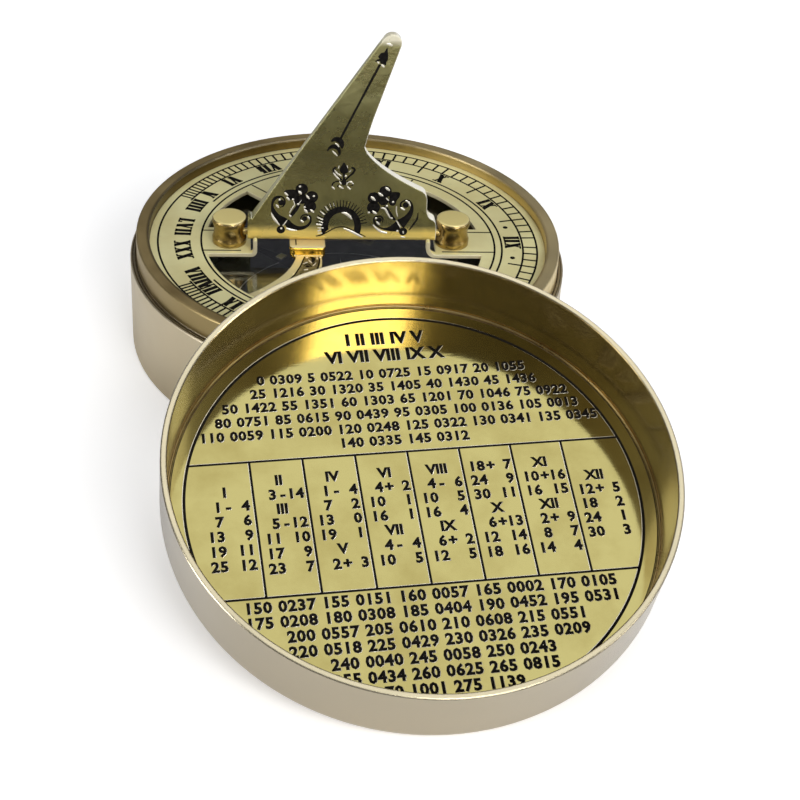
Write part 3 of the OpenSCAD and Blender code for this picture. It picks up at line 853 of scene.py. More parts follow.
class SUNDIAL_OT_hour_ticks(Operator):
    """Engraves a tick every ten minutes, longer ticks at the half hours and the two dots at noon"""

    bl_idname = "sundial.hour_ticks"
    bl_label = "Hour ticks"

    def execute(self, context):
        sizes, cut = context.scene.sundial_dial, context.scene.sundial_engraving
        outer, inner = sizes.outer_ring / MM, sizes.inner_ring / MM
        ticks = []
        for tenth in range(6 * sizes.last_hour + 1):
            for side in (-1, 1):
                along = way(ring_angle(sizes, side * max(tenth / 6, 1e-6), (inner + outer) / 2))
                start = inner - (HALF_HOUR_EXTRA if tenth % 6 == 3 else 0)
                ticks.append([bar(along * start, along * outer, sizes.tick_width / MM)])
        for side in (-1, 1):
            across = DOT_AT * math.cos(math.radians(DOT_ANGLE))
            up = side * DOT_AT * math.sin(math.radians(DOT_ANGLE)) + MOUNT_Y / MM
            ticks.append([disc(across, up, DOT_RADIUS, 16)])
        pieces = engraved("hour_ticks", ticks, sizes.face_z, height=cut.proud + TICKS_OVER)
        own(pieces, "case", finish("fill"))
        return {"FINISHED"}


def numeral_strokes(letter, tall):
    """Width and strokes of one Roman letter that stands on the base line."""
    thick, thin, serif = 0.28 * tall, 0.13 * tall, 0.1 * tall
    top = tall - serif

    def foot(x0, x1, y):
        return [(x0, y), (x1, y), (x1, y + serif), (x0, y + serif)]

    def lean(x0, y0, x1, y1, w):
        return [(x0 - w / 2, y0), (x0 + w / 2, y0), (x1 + w / 2, y1), (x1 - w / 2, y1)]

    if letter == "I":
        wide = 0.34 * tall
        return wide, [lean(wide / 2, 0, wide / 2, tall, thick), foot(0, wide, 0), foot(0, wide, top)]
    if letter == "V":
        wide = 0.66 * tall
        return wide, [lean(0.36 * tall, 0, 0.16 * tall, tall, thick * 1.1),
                      lean(0.34 * tall, 0, 0.54 * tall, tall, thin),
                      foot(0, 0.3 * tall, top), foot(0.42 * tall, wide, top)]
    if letter == "L":
        wide = 0.5 * tall
        return wide, [lean(0.17 * tall, 0, 0.17 * tall, tall, thick), foot(0, 0.34 * tall, top), foot(0, wide, 0),
                      lean(wide - thin / 2, 0, wide - thin / 2, 0.25 * tall, thin)]
    wide = 0.68 * tall
    return wide, [lean(0.52 * tall, 0, 0.16 * tall, tall, thick * 1.1), lean(0.16 * tall, 0, 0.52 * tall, tall, thin),
                  foot(0, 0.3 * tall, 0), foot(0.38 * tall, wide, 0), foot(0, 0.3 * tall, top),
                  foot(0.38 * tall, wide, top)]


# Numerals by hours before (-) or after noon
ROMAN = {0: "XII", 1: "I", 2: "II", 3: "III", 4: "IIII", 5: "V", 6: "VI", 7: "VII", 8: "VIII",
         -1: "XI", -2: "X", -3: "IX", -4: "VIII", -5: "VII", -6: "VI", -7: "V", -8: "IIII"}
LATITUDE, LATITUDE_ANGLE = "LVII XXX", 180.0


class SUNDIAL_OT_hour_numerals(Operator):
    """Engraves the Roman hour numerals and the latitude in the same letters"""

    bl_idname = "sundial.hour_numerals"
    bl_label = "Hour numerals"

    def execute(self, context):
        sizes, cut = context.scene.sundial_dial, context.scene.sundial_engraving
        tall = sizes.numeral_height / MM
        foot = sizes.inner_ring / MM - NUMERAL_INSET
        low, high = sizes.face_z - cut.sunk, sizes.face_z + cut.proud + NUMERALS_OVER
        masters = {}
        for letter in "IVXL":
            wide, strokes = numeral_strokes(letter, tall)
            masters[letter] = (wide, join("letter_" + letter, [flat_shape("stroke", [s], low, high) for s in strokes]))
        noon = math.degrees(MOUNT_Y / MM / foot)
        texts = [(word, ring_angle(sizes, hours, foot - tall / 2) if hours else noon, tall * NUMERAL_GAP)
                 for hours, word in ROMAN.items()]
        texts.append((LATITUDE, LATITUDE_ANGLE, tall * LATITUDE_GAP))
        copies = []
        for word, angle, gap in texts:
            total = sum(masters[letter][0] if letter in masters else tall / 2 for letter in word)
            total += gap * (len(word) - 1)
            along = -total / 2
            for letter in word:
                if letter == " ":
                    along += tall / 2 + gap
                    continue
                wide, master = masters[letter]
                turn = math.radians(angle) + (along + wide / 2) / (foot - tall / 2)
                select_only(master)
                bpy.ops.object.duplicate()
                copy = context.object
                outward = Vector((math.cos(turn), math.sin(turn), 0))
                across = Vector((-outward.y, outward.x, 0))
                copy.location = (outward * foot - across * wide / 2) * MM
                copy.rotation_euler.z = turn + math.pi / 2
                copies.append(copy)
                along += wide + gap
        settle(*copies)
        numerals = join("hour_numerals", copies)
        select_only(*[master for _, master in masters.values()])
        bpy.ops.object.delete()
        own(numerals, "case", finish("fill"))
        return {"FINISHED"}


# ---------------------------------------------------------------- gnomon and stay

# Closed outlines on the sloping foot, in millimetres across and up
LEAVES = [
    [(-12.32, 9.72), (-13.01, 9.77), (-13.55, 9.29), (-13.8, 8.44), (-13.84, 7.3), (-13.65, 6.26), (-13.12, 5.31),
     (-12.51, 4.64), (-12.06, 4.07), (-11.38, 4.75), (-10.99, 5.37), (-11.48, 5.77), (-12.27, 6.18),
     (-12.97, 6.93), (-13.36, 7.69), (-13.4, 8.35), (-13.17, 8.92), (-12.78, 9.28), (-12.31, 9.35)],
    [(-11.41, 4.56), (-11.1, 3.89), (-10.49, 3.45), (-9.44, 3.27), (-8.39, 3.38), (-7.44, 3.87), (-6.85, 4.7),
     (-6.73, 5.57), (-7.06, 6.17), (-7.58, 6.36), (-7.49, 6), (-7.19, 5.66), (-7.11, 5.12), (-7.46, 4.5),
     (-8.15, 4.15), (-9.02, 4.1), (-9.89, 4.48), (-10.46, 5.05), (-10.78, 5.33), (-11.12, 4.95)],
    [(-11.59, 10.77), (-10.96, 10.96), (-10.1, 11.03), (-9.32, 10.85), (-9.05, 10.01), (-8.94, 9.06),
     (-9.27, 8.11), (-9.79, 8.39), (-10.01, 9.15), (-10.58, 9.08), (-11.02, 9.7), (-11.46, 10.26)],
    [(9.38, 9.35), (10.17, 9.28), (10.74, 8.62), (10.97, 7.57), (10.81, 6.42), (10.33, 5.36), (9.8, 4.48),
     (9.39, 3.9), (8.83, 4.57), (8.26, 5.43), (8.68, 5.69), (9.36, 6.16), (10.03, 6.89), (10.39, 7.76),
     (10.44, 8.43), (10.15, 8.9), (9.4, 9.01)],
    [(8.09, 5.14), (8.57, 4.37), (8.78, 3.64), (8.1, 3.25), (7.04, 3.26), (5.79, 3.55), (4.71, 4.14), (4.03, 4.95),
     (4, 5.77), (4.45, 6.2), (4.52, 5.82), (4.31, 5.49), (4.45, 4.91), (4.97, 4.28), (5.78, 3.9), (6.74, 4.07),
     (7.5, 4.65)],
    [(6.54, 10.38), (7.05, 10.71), (7.83, 10.77), (8.45, 10.59), (8.39, 9.83), (7.96, 9.16), (7.68, 8.3),
     (6.99, 8.2), (6.52, 8.86), (6.66, 9.62)],
    [(-1.46, 16.18), (-1.05, 15.63), (-0.69, 14.98), (-0.75, 14.37), (-1.17, 14.04), (-1.2, 13.3), (-0.95, 12.64),
     (-1.1, 11.98), (-1.59, 11.94), (-1.78, 12.54), (-1.54, 13.2), (-1.64, 14.04), (-2.04, 14.35), (-2.16, 14.96),
     (-1.82, 15.62)],
]
# Curved strokes as points of across, up and width
STROKES = [
    [(-13, 9.58, 0.22), (-12.32, 9.72, 0.26), (-11.69, 9.41, 0.3), (-11.44, 8.66, 0.3), (-11.72, 7.9, 0.26),
     (-12.24, 7.66, 0.15)],
    [(-7.58, 6.26, 0.3), (-8.28, 6.18, 0.26), (-8.65, 5.64, 0.22), (-8.6, 5.26, 0.15)],
    [(-10.47, 5.76, 0.37), (-10.02, 6.58, 0.67), (-9.43, 7.45, 0.7), (-8.93, 8.31, 0.56)],
    [(9.39, 9.18, 0.26), (8.79, 8.79, 0.3), (8.67, 8.12, 0.3), (9, 7.44, 0.19)],
    [(11.79, 6.81, 0.15), (11.67, 5.66, 0.33), (11.03, 4.5, 0.33), (10.38, 3.52, 0.17)],
    [(4.34, 5.97, 0.26), (5.16, 6.13, 0.3), (5.7, 5.6, 0.26), (5.59, 4.9, 0.15)],
    [(5.86, 8.09, 0.56), (6.51, 7.14, 0.63), (7.26, 6.09, 0.52), (7.82, 5.43, 0.37)],
    [(-2.72, 15.27, 0.3), (-3.21, 14.95, 0.41), (-3.12, 14.2, 0.37), (-2.5, 13.5, 0.37), (-1.7, 12.91, 0.3)],
    [(-0.15, 15.3, 0.3), (0.4, 14.94, 0.41), (0.15, 14.25, 0.37), (-0.52, 13.58, 0.33), (-1.1, 12.92, 0.26)],
    [(-1.69, 12.54, 0.26), (-2.56, 12.66, 0.24), (-3.27, 12.24, 0.28), (-3.34, 11.58, 0.22)],
    [(-0.99, 12.36, 0.22), (-0.57, 12.65, 0.2), (0.15, 12.37, 0.24), (0.06, 11.9, 0.19), (-0.46, 11.8, 0.15)],
    [(-2.28, 12.06, 0.19), (-2.44, 11.59, 0.19)],
    [(-5.95, 2.16, 0.17), (-5.05, 2.41, 0.3), (-3.84, 3.07, 0.24), (-2.81, 3.72, 0.2), (-1.77, 4.02, 0.2),
     (-0.72, 3.94, 0.2), (0.35, 3.44, 0.22), (1.61, 2.74, 0.26), (2.77, 2.17, 0.17)],
]
# Round lobes and eyes as across, up and radius
LOBES = [
    (-12.08, 8.56, 0.54), (-8, 5.53, 0.46), (-12.09, 3.38, 0.74), (-8.59, 11.09, 1.09), (-6.83, 9.66, 1.11),
    (-7.1, 7.89, 1.09), (-8.43, 9.26, 0.93), (9.57, 8.32, 0.54), (5.01, 5.4, 0.48), (9.33, 3.22, 0.74),
    (5.91, 10.84, 1.09), (3.96, 9.59, 1.11), (3.95, 7.78, 1.15), (5.64, 9.13, 0.93),
]
# Ridges on the black ornament, pale as painted highlights, as points of across, up and width
RIDGES = [
    [(-13.8, 6.64, 0.13), (-13.51, 5.88, 0.37), (-13.07, 5.16, 0.44), (-12.36, 4.26, 0.22)],
    [(-13, 8.15, 0.19), (-12.76, 7.85, 0.37), (-12.48, 7.55, 0.19)],
    [(-12.36, 9.1, 0.42)],
    [(-11.54, 10.45, 0.19), (-11.26, 10.17, 0.41), (-10.94, 9.89, 0.19)],
    [(-11.18, 9.61, 0.19), (-10.93, 9.29, 0.41), (-10.67, 8.99, 0.19)],
    [(-10.07, 9.18, 0.42)],
    [(-9.96, 8.86, 0.17), (-9.77, 8.2, 0.19), (-10.21, 7.44, 0.17), (-10.61, 6.61, 0.15)],
    [(-10.66, 6.23, 0.19), (-10.48, 6, 0.37), (-10.35, 5.82, 0.19)],
    [(-8.91, 11.59, 0.42)],
    [(-9.16, 10.76, 0.19), (-8.9, 10.48, 0.48), (-8.6, 10.18, 0.19)],
    [(-6.47, 9.83, 0.42)],
    [(-7.8, 10.02, 0.19), (-7.54, 9.65, 0.43), (-7.23, 9.27, 0.19)],
    [(-8.03, 7.71, 0.42)],
    [(-8.09, 7.33, 0.19), (-7.81, 6.99, 0.48), (-7.5, 6.61, 0.19)],
    [(-7.05, 7.26, 0.19), (-6.73, 7, 0.43), (-6.41, 6.72, 0.19)],
    [(-9.15, 8.27, 0.42)],
    [(-8.6, 9.07, 0.09), (-9.01, 8.42, 0.17)],
    [(-11.13, 3.62, 0.3), (-10.48, 3.38, 0.41), (-9.87, 3.29, 0.3), (-9.26, 3.27, 0.11)],
    [(-8.71, 5.24, 0.19), (-8.43, 5.01, 0.41), (-8.14, 4.8, 0.19)],
    [(-7.51, 5.96, 0.15), (-7.29, 5.73, 0.3), (-7.16, 5.39, 0.15)],
    [(-12.02, 3.61, 0.42)],
    [(-11.72, 4.15, 0.17), (-11.38, 4.66, 0.2), (-11.04, 5.18, 0.15)],
    [(9.46, 9.16, 0.22), (9.98, 8.9, 0.37), (10.38, 8.14, 0.19)],
    [(8.67, 7.83, 0.19), (9.07, 7.55, 0.41), (9.48, 7.33, 0.19)],
    [(3.41, 9.87, 0.22), (3.78, 9.49, 0.52), (4.21, 9.1, 0.22)],
    [(5.84, 11.6, 0.22), (6.24, 11.32, 0.48), (6.62, 11, 0.22)],
    [(4.67, 10.58, 0.22), (5.08, 10.25, 0.52), (5.53, 9.99, 0.22)],
    [(6.05, 9.63, 0.19), (6.53, 9.14, 0.3)],
    [(7.31, 8.87, 0.42)],
    [(3.17, 6.82, 0.42)],
    [(3.78, 7.13, 0.22), (4.15, 6.81, 0.52), (4.54, 6.55, 0.22)],
    [(5.26, 7.7, 0.22), (5.93, 7.57, 0.37), (6.31, 6.95, 0.33), (6.73, 6.19, 0.28), (6.99, 5.8, 0.19)],
    [(7.19, 5.77, 0.42)],
    [(6.26, 8.09, 0.42)],
    [(4, 4.46, 0.19), (4.64, 3.76, 0.37), (5.46, 3.16, 0.44), (6.53, 2.9, 0.33)],
    [(4.59, 5.09, 0.19), (4.86, 4.78, 0.41), (5.15, 4.51, 0.19)],
    [(4.47, 5.74, 0.42)],
    [(8.32, 3.31, 0.42)],
    [(9.33, 3.32, 0.3), (9.4, 2.85, 0.19)],
    [(8.99, 2.23, 0.19), (9.38, 2.15, 0.3), (9.78, 2.08, 0.15)],
    [(8.05, 5.35, 0.15), (8.43, 4.66, 0.22), (8.82, 4.01, 0.17)],
    [(7.97, 8.11, 0.15), (7.96, 7.16, 0.2), (8.24, 6.09, 0.15)],
    [(-3.26, 14.28, 0.15), (-2.76, 13.61, 0.33), (-2.12, 13.02, 0.19)],
    [(-3.07, 14.8, 0.15), (-2.6, 14.17, 0.28), (-1.85, 13.68, 0.22)],
    [(-2.16, 12.67, 0.19), (-1.82, 12.16, 0.22)],
    [(-2.22, 11.82, 0.19), (-1.87, 11.56, 0.37), (-1.44, 11.28, 0.19)],
    [(-3.43, 11.69, 0.19), (-3.18, 11.4, 0.33), (-2.89, 11.15, 0.17)],
    [(-0.86, 11.99, 0.15), (-0.65, 12.48, 0.19), (-0.14, 12.58, 0.3), (0.27, 12.19, 0.19)],
    [(-0.8, 11.8, 0.15), (-0.53, 11.46, 0.3), (-0.19, 11.13, 0.17)],
    [(-1.07, 13.67, 0.42)],
    [(-0.54, 14.39, 0.11), (-0.21, 14.69, 0.17)],
    [(-2.27, 15.59, 0.11), (-2.36, 15.09, 0.19)],
    [(-0.93, 15.65, 0.11), (-0.79, 15.17, 0.15)],
    [(-1.57, 6.73, 0.22), (-0.89, 6.6, 0.52), (-0.26, 6.11, 0.52), (0.25, 5.5, 0.19)],
    [(-1.15, 3.72, 0.19), (-0.26, 3.38, 0.35), (0.9, 2.77, 0.44), (1.8, 2.28, 0.33), (2.25, 2.05, 0.19)],
    [(-4.43, 7.94, 0.11), (-3.99, 7.18, 0.24)],
    [(-5.31, 7.01, 0.15), (-4.59, 6.32, 0.3)],
    [(-5.8, 5.82, 0.13), (-4.78, 5.34, 0.26)],
    [(-5.47, 5.06, 0.11), (-4.8, 4.76, 0.19)],
    [(-5.92, 4.46, 0.3), (-4.92, 4.34, 0.26)],
    [(-5.7, 3.77, 0.15), (-4.65, 3.76, 0.2)],
    [(-5.63, 3.13, 0.3), (-5.11, 3.39, 0.28)],
    [(-5.65, 2.75, 0.13), (-4.83, 2.79, 0.19)],
    [(-3.73, 8.36, 0.07), (-3.49, 7.8, 0.13)],
    [(-3.06, 8.66, 0.07), (-2.9, 7.99, 0.11)],
]
# The crescent over the bend of the face
CRESCENT = [
    [(-4.41, 18.39), (-4.12, 19), (-3.63, 19.42), (-2.94, 19.43), (-2.31, 18.91), (-2.05, 18.18), (-2.2, 17.51),
     (-2.53, 17.32), (-2.48, 17.89), (-2.77, 18.45), (-3.26, 18.71), (-3.86, 18.66), (-4.3, 18.24)],
    [(-3.82, 20.13), (-3.49, 20.65), (-2.82, 20.9), (-2.14, 20.72), (-1.64, 20.07), (-1.61, 19.23), (-1.93, 18.69),
     (-2.2, 19.16), (-2.53, 19.78), (-3.14, 20.09), (-3.68, 19.95)],
]
CRESCENT_RIDGES = [
    [(-3.07, 19.73, 0.15), (-2.72, 19.44, 0.3), (-2.42, 18.99, 0.15)],
    [(-3.54, 18.29, 0.15), (-3.13, 17.84, 0.31), (-2.65, 17.32, 0.15)],
]
# The arrow on the upright part of the face
ARROW_HEAD = [
    [(4.95, 37.51), (5.13, 35.99), (5.08, 35.03), (4.94, 35.12), (4.85, 34.27), (4.34, 34.48), (3.92, 34.6),
     (3.78, 35.06), (3.02, 34.87), (3.24, 35.3), (3.69, 35.44), (3.44, 35.85), (3.91, 36.5), (4.43, 36.66)],
]
ARROW_RIDGES = [
    [(3.37, 34.95, 0.19), (3.65, 34.66, 0.3)],
    [(4.09, 34.42, 0.19), (4.32, 34.21, 0.37), (4.58, 33.92, 0.19)],
    [(4.73, 38.2, 0.26), (5.24, 38.07, 0.44), (5.71, 37.86, 0.3)],
]
ARROW_SHAFT = [(3.84, 34.43, 0.44), (0.97, 27.89, 0.39), (-2.14, 20.71, 0.39)]
# The sun: middle, half width and half height of its ring outside and inside, and how far its rays reach
SUN_OUTSIDE = (-1.58, 4.0, 3.5, 3.9)
SUN_INSIDE = (-1.55, 4.17, 2.28, 2.58)
SUN_RAYS = 1.32
# The ring is open below. In degrees: the ends of its outside and inside
SUN_OUTSIDE_ENDS, SUN_INSIDE_ENDS = (-22, 202), (195, -15)


# The stay's chasing in millimetres across and back: border lines, scrolls, eyes and ridges painted as highlights
STAY_BORDERS = [
    [(-7.9, -4.7, 0.2), (-8.12, -5.5, 0.24), (-8.63, -7.48, 0.26), (-9.21, -9.12, 0.26), (-9.9, -10.8, 0.26),
     (-11.4, -13.1, 0.26), (-14, -16.1, 0.26), (-16.4, -18.1, 0.2)],
    [(-5.35, -4.7, 0.2), (-5.4, -6.5, 0.3), (-5.9, -9, 0.3), (-6.9, -12.5, 0.3), (-8.7, -16.6, 0.3), (-11.5, -21, 0.2)],
]
STAY_SCROLLS = [
    [(-8.3, -7.9, 0.15), (-7.41, -7.1, 0.3), (-6.8, -8.1, 0.15)],
    [(-7.0, -4.75, 0.3), (-6.45, -5.3, 0.7), (-6.5, -6.2, 0.5), (-6.9, -6.8, 0.15)],
    [(-8.9, -10.2, 0.15), (-8.0, -11.4, 0.35), (-8.7, -12.8, 0.35), (-10.2, -12.9, 0.15)],
    [(-10.8, -14.4, 0.15), (-9.6, -15.6, 0.4), (-10.4, -17.4, 0.4), (-12.4, -17.4, 0.15)],
    [(-12.7, -18.4, 0.15), (-13.2, -19.9, 0.4), (-15, -19.4, 0.15)],
]
STAY_EYES = [(-7.5, -7.9, 0.36), (-6.3, -7.0, 0.3), (-9.2, -12.0, 0.35), (-11.1, -16.3, 0.45), (-14, -18.9, 0.35)]
# The line across its raised end
STAY_SCORE = ((-9.4, -1.5), (-9.4, -3.45))
STAY_RIDGES = [
    [(-7.5, -5.0, 0.42)], [(-5.75, -4.7, 0.15), (-5.75, -5.6, 0.3)], [(-5.2, -5.0, 0.36)],
    [(-7.25, -5.7, 0.15), (-7.0, -6.3, 0.35), (-6.7, -6.8, 0.15)], [(-8.3, -7.1, 0.15), (-7.5, -6.55, 0.3)],
    [(-6.6, -7.8, 0.15), (-6.3, -7.3, 0.3), (-6.0, -6.7, 0.15)], [(-8.2, -9.1, 0.2), (-7.5, -8.9, 0.35)],
    [(-8.6, -10.6, 0.15), (-7.75, -11.5, 0.3), (-8.3, -12.6, 0.15)],
    [(-10.2, -15.2, 0.15), (-9.4, -16, 0.3), (-10, -17.2, 0.15)],
]

# Places on the gnomon's front face, forward and up, in millimetres
SLOPE = ((-2.5, 2.3), (-1.1, 18.3))
BEND = ((-1.214, 17.0), (-1.1, 21.6))
UPRIGHT = ((-1.1, 18.3), (-1.1, 39.0))


def face_matrix(low, high):
    """From a plane of across and up to the gnomon's front face between two of its places."""
    foot, head = Vector((0, *low)), Vector((0, *high))
    up = (head - foot).normalized()
    out = Vector((1, 0, 0)).cross(up)
    turn = Matrix((Vector((1, 0, 0)), up, out)).transposed().to_4x4()
    start = foot - up * low[1]
    return Matrix.Translation(Vector((0, start.y * MM, start.z * MM + DIAL_Z))) @ turn


def on_gnomon(piece, face, key):
    placed(piece, face_matrix(*face), "folding_gnomon", finish(key))


def on_stay(piece, key):
    own(piece, "case", finish(key))


def oval(shape, angle):
    x, y, wide, tall = shape
    return (x + wide * math.cos(math.radians(angle)), y + tall * math.sin(math.radians(angle)))


def oval_line(shape, start, end, parts=60):
    """Part of an oval, angles in degrees."""
    return [oval(shape, start + (end - start) * i / parts) for i in range(parts + 1)]


class SUNDIAL_OT_gnomon_ornament(Operator):
    """Engraves the scrolls, the sun and the fleur on the gnomon's sloping foot, filled black, with pale ridges painted
    as highlights
    """

    bl_idname = "sundial.gnomon_ornament"
    bl_label = "Gnomon ornament"

    def execute(self, context):
        shapes = [[eased(outline)] for outline in LEAVES]
        shapes += [[stroke(points)] for points in STROKES]
        shapes += [[disc(x, y, radius, 24)] for x, y, radius in LOBES]
        shapes.append([oval_line(SUN_OUTSIDE, *SUN_OUTSIDE_ENDS) + oval_line(SUN_INSIDE, *SUN_INSIDE_ENDS)])
        rays, first, fan, wide, narrow = 22, 10, 160, 0.2, 0.12
        for k in range(rays):
            foot = oval(SUN_OUTSIDE, first + fan * k / (rays - 1))
            tip = [foot[i] + (SUN_RAYS - 1) * (foot[i] - SUN_OUTSIDE[i]) for i in (0, 1)]
            shapes.append([bar(foot, tip, wide, narrow)])
        on_gnomon(engraved("gnomon_ornament", shapes), SLOPE, "fill")
        ridge = context.scene.sundial_engraving.ridge
        on_gnomon(beads("gnomon_ridges", RIDGES, ridge), SLOPE, "bright")
        return {"FINISHED"}


class SUNDIAL_OT_stay_relief(Operator):
    """Chases a border and a leaf scroll on the stay, with painted shade on the ground between the borders, and scores
    its raised end
    """

    bl_idname = "sundial.stay_relief"
    bl_label = "Stay relief"

    def execute(self, context):
        cut = context.scene.sundial_engraving
        low = DIAL_Z - DIAL_T
        left, right = ([point[:2] for point in eased(line, closed=False)] for line in STAY_BORDERS)
        on_stay(engraved("stay_ground", [[left + right[::-1]]], low, height=cut.proud / 2), "shade")
        shapes = [[stroke(line)] for line in STAY_BORDERS + STAY_SCROLLS]
        shapes += [[disc(x, y, radius, 20)] for x, y, radius in STAY_EYES]
        on_stay(engraved("stay_scrolls", shapes, low), "fill")
        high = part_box("gnomon_stay")[1].z
        on_stay(engraved("stay_score", [[bar(*STAY_SCORE, 0.2)]], high), "fill")
        ridges = beads("stay_ridges", STAY_RIDGES, cut.ridge)
        placed(ridges, Matrix.Translation((0, 0, low)), "case", finish("bright"))
        return {"FINISHED"}


class SUNDIAL_OT_gnomon_arrow(Operator):
    """Engraves the crescent and the arrow on the upper part of the gnomon"""

    bl_idname = "sundial.gnomon_arrow"
    bl_label = "Gnomon arrow"

    def execute(self, context):
        ridge = context.scene.sundial_engraving.ridge
        # The face bends under the crescent, so this fill reaches deeper
        moon = engraved("gnomon_crescent", [[eased(outline)] for outline in CRESCENT], depth=0.0001)
        on_gnomon(moon, BEND, "fill")
        on_gnomon(beads("crescent_ridges", CRESCENT_RIDGES, ridge), BEND, "bright")
        on_gnomon(engraved("gnomon_arrow", [ARROW_HEAD, [stroke(ARROW_SHAFT)]]), UPRIGHT, "fill")
        on_gnomon(beads("arrow_ridges", ARROW_RIDGES, ridge), UPRIGHT, "bright")
        return {"FINISHED"}


# ---------------------------------------------------------------- lid plate

# In millimetres: half the width of the circle, the width of the rules, and the radii of the seam round the plate
CIRCLE_HALF, RULE, SEAM = 0.22, 0.36, (36.97, 36.78)

MONTHS = "0 I II III IV V VI VII VIII IX X XI XII".split()
# For each column, its months with the number of days listed and the first of them
TABLE_MONTHS = {
    0: [(1, 5, 1)], 1: [(2, 1, 3), (3, 4, 5)], 2: [(4, 4, 1), (5, 1, 2)], 3: [(6, 3, 4), (7, 2, 4)],
    4: [(8, 3, 4), (9, 2, 6)], 5: [(9, 3, 18), (10, 3, 6)], 6: [(11, 2, 10), (12, 3, 2)], 7: [(12, 4, 12)],
}
# In millimetres: the top figure of a column, and those of the short columns beside the circle
COLUMN_TOP, SHORT_COLUMN_TOPS = 4.75, {0: 3.2, 7: 1.75}
# In millimetres from a column's middle: where the day and the minutes end, and where the sign stands
DAY_END, MINUTES_END, SIGN_AT = -0.6, 3.55, 0.35
# Days from one listed day to the next, and in a month. From the last of these days on, a month goes on from the
# column before
DAY_STEP, MONTH_DAYS, GOES_ON = 6, 30.4, 18
# Numerals, and how far across and up they stand in millimetres
TITLE_ROWS = (("I II III IV V", (-0.3, 29.9)), ("VI VII VIII IX X", (-0.7, 26.6)))
TITLE_SIZE = 3.1
# In millimetres: height of the first row, step, size of the figures and width of each row
FIGURE_ROWS = (
    (23.25, 2.53, 2.35, (44.6, 47, 49, 52.4, 58, 15.4)),
    (-16.7, 2.5, 2.5, (49, 48, 40, 41, 35, 28, 18)),
)
# Width of a figure and width left free in a row, both as a share of the figures' size
FIGURE_SHARE, FREE_SHARE = 0.482, 1.6


def on_lid_plate(piece, key):
    placed(piece, lid_matrix(), "lid", finish(key))


def day_minutes(day):
    """Minutes between sun time and clock time on a day of the year."""
    b = math.radians(360 * (day - 81) / 364)
    return 9.87 * math.sin(2 * b) - 7.53 * math.cos(b) - 1.5 * math.sin(b)


class SUNDIAL_OT_lid_table(Operator):
    """Engraves the circle and the ruled table on the lid's plate"""

    bl_idname = "sundial.lid_table"
    bl_label = "Lid table"

    def execute(self, context):
        cut = context.scene.sundial_engraving
        radius, top, foot, step = (v / MM for v in (cut.lid_circle, cut.table_top, cut.table_foot, cut.column))
        shapes = [hoop(radius + CIRCLE_HALF, radius - CIRCLE_HALF, 200)]
        for up in (top, foot):
            reach = math.sqrt(radius * radius - up * up)
            shapes.append([bar((-reach, up), (reach, up), RULE)])
        shapes += [[bar((k * step, top), (k * step, foot), RULE)] for k in range(-3, 4)]
        table = engraved("lid_table", shapes)
        on_lid_plate(glint(table, "lid_table_glint", (-0.00007, 0.00005)), "bright")
        on_lid_plate(table, "fill")
        on_lid_plate(engraved("lid_seam", [hoop(*SEAM, 200)], height=cut.proud / 2), "dark")
        return {"FINISHED"}


def figures(words, place, size, align="CENTER", space=1.0):
    """One line of plain figures, as a text object in the plate's plane, in millimetres."""
    bold = 0.045
    bpy.ops.object.select_all(action="DESELECT")
    bpy.ops.object.text_add(location=(place[0] * MM, place[1] * MM, 0))
    line = bpy.context.object
    line.data.body = words
    line.data.size = size * MM
    line.data.align_x = align
    line.data.offset = bold * size * MM
    line.data.space_character = space
    line.data.resolution_u = 2
    return line


def column_figures(column, step, row, size):
    """One column of the table: a month, then day, ahead or behind, and minutes."""
    lines = []
    centre = (column - 3.5) * step - (0.2 if column == 0 else 0)
    height = SHORT_COLUMN_TOPS.get(column, COLUMN_TOP)
    for month, count, first in TABLE_MONTHS[column]:
        # A month that goes on from the column before isn't named again
        if first < GOES_ON:
            lines.append(figures(MONTHS[month], (centre, height), size))
            height -= row
        for k in range(count):
            day = first + k * DAY_STEP
            minutes = day_minutes(MONTH_DAYS * (month - 1) + day)
            for number, across in ((day, DAY_END), (abs(round(minutes)), MINUTES_END)):
                lines.append(figures(str(number), (centre + across, height), size, "RIGHT", space=1.1))
            if k == 0:
                lines.append(figures("+" if minutes > 0 else "-", (centre + SIGN_AT, height), size))
            height -= row
    return lines


def row_figures():
    """Rows of day, minutes and seconds through the year, above and below the table."""
    lines, day = [], 0
    for first, step, tall, widths in FIGURE_ROWS:
        for k, width in enumerate(widths):
            words = []
            while len(" ".join(words)) * tall * FIGURE_SHARE < width - FREE_SHARE * tall:
                seconds = abs(round(60 * day_minutes(day)))
                words.append("%d %02d%02d" % (day, seconds // 60, seconds % 60))
                day = (day + 5) % 365
            lines.append(figures(" ".join(words), (0, first - step * k), tall, space=1.1))
    return lines


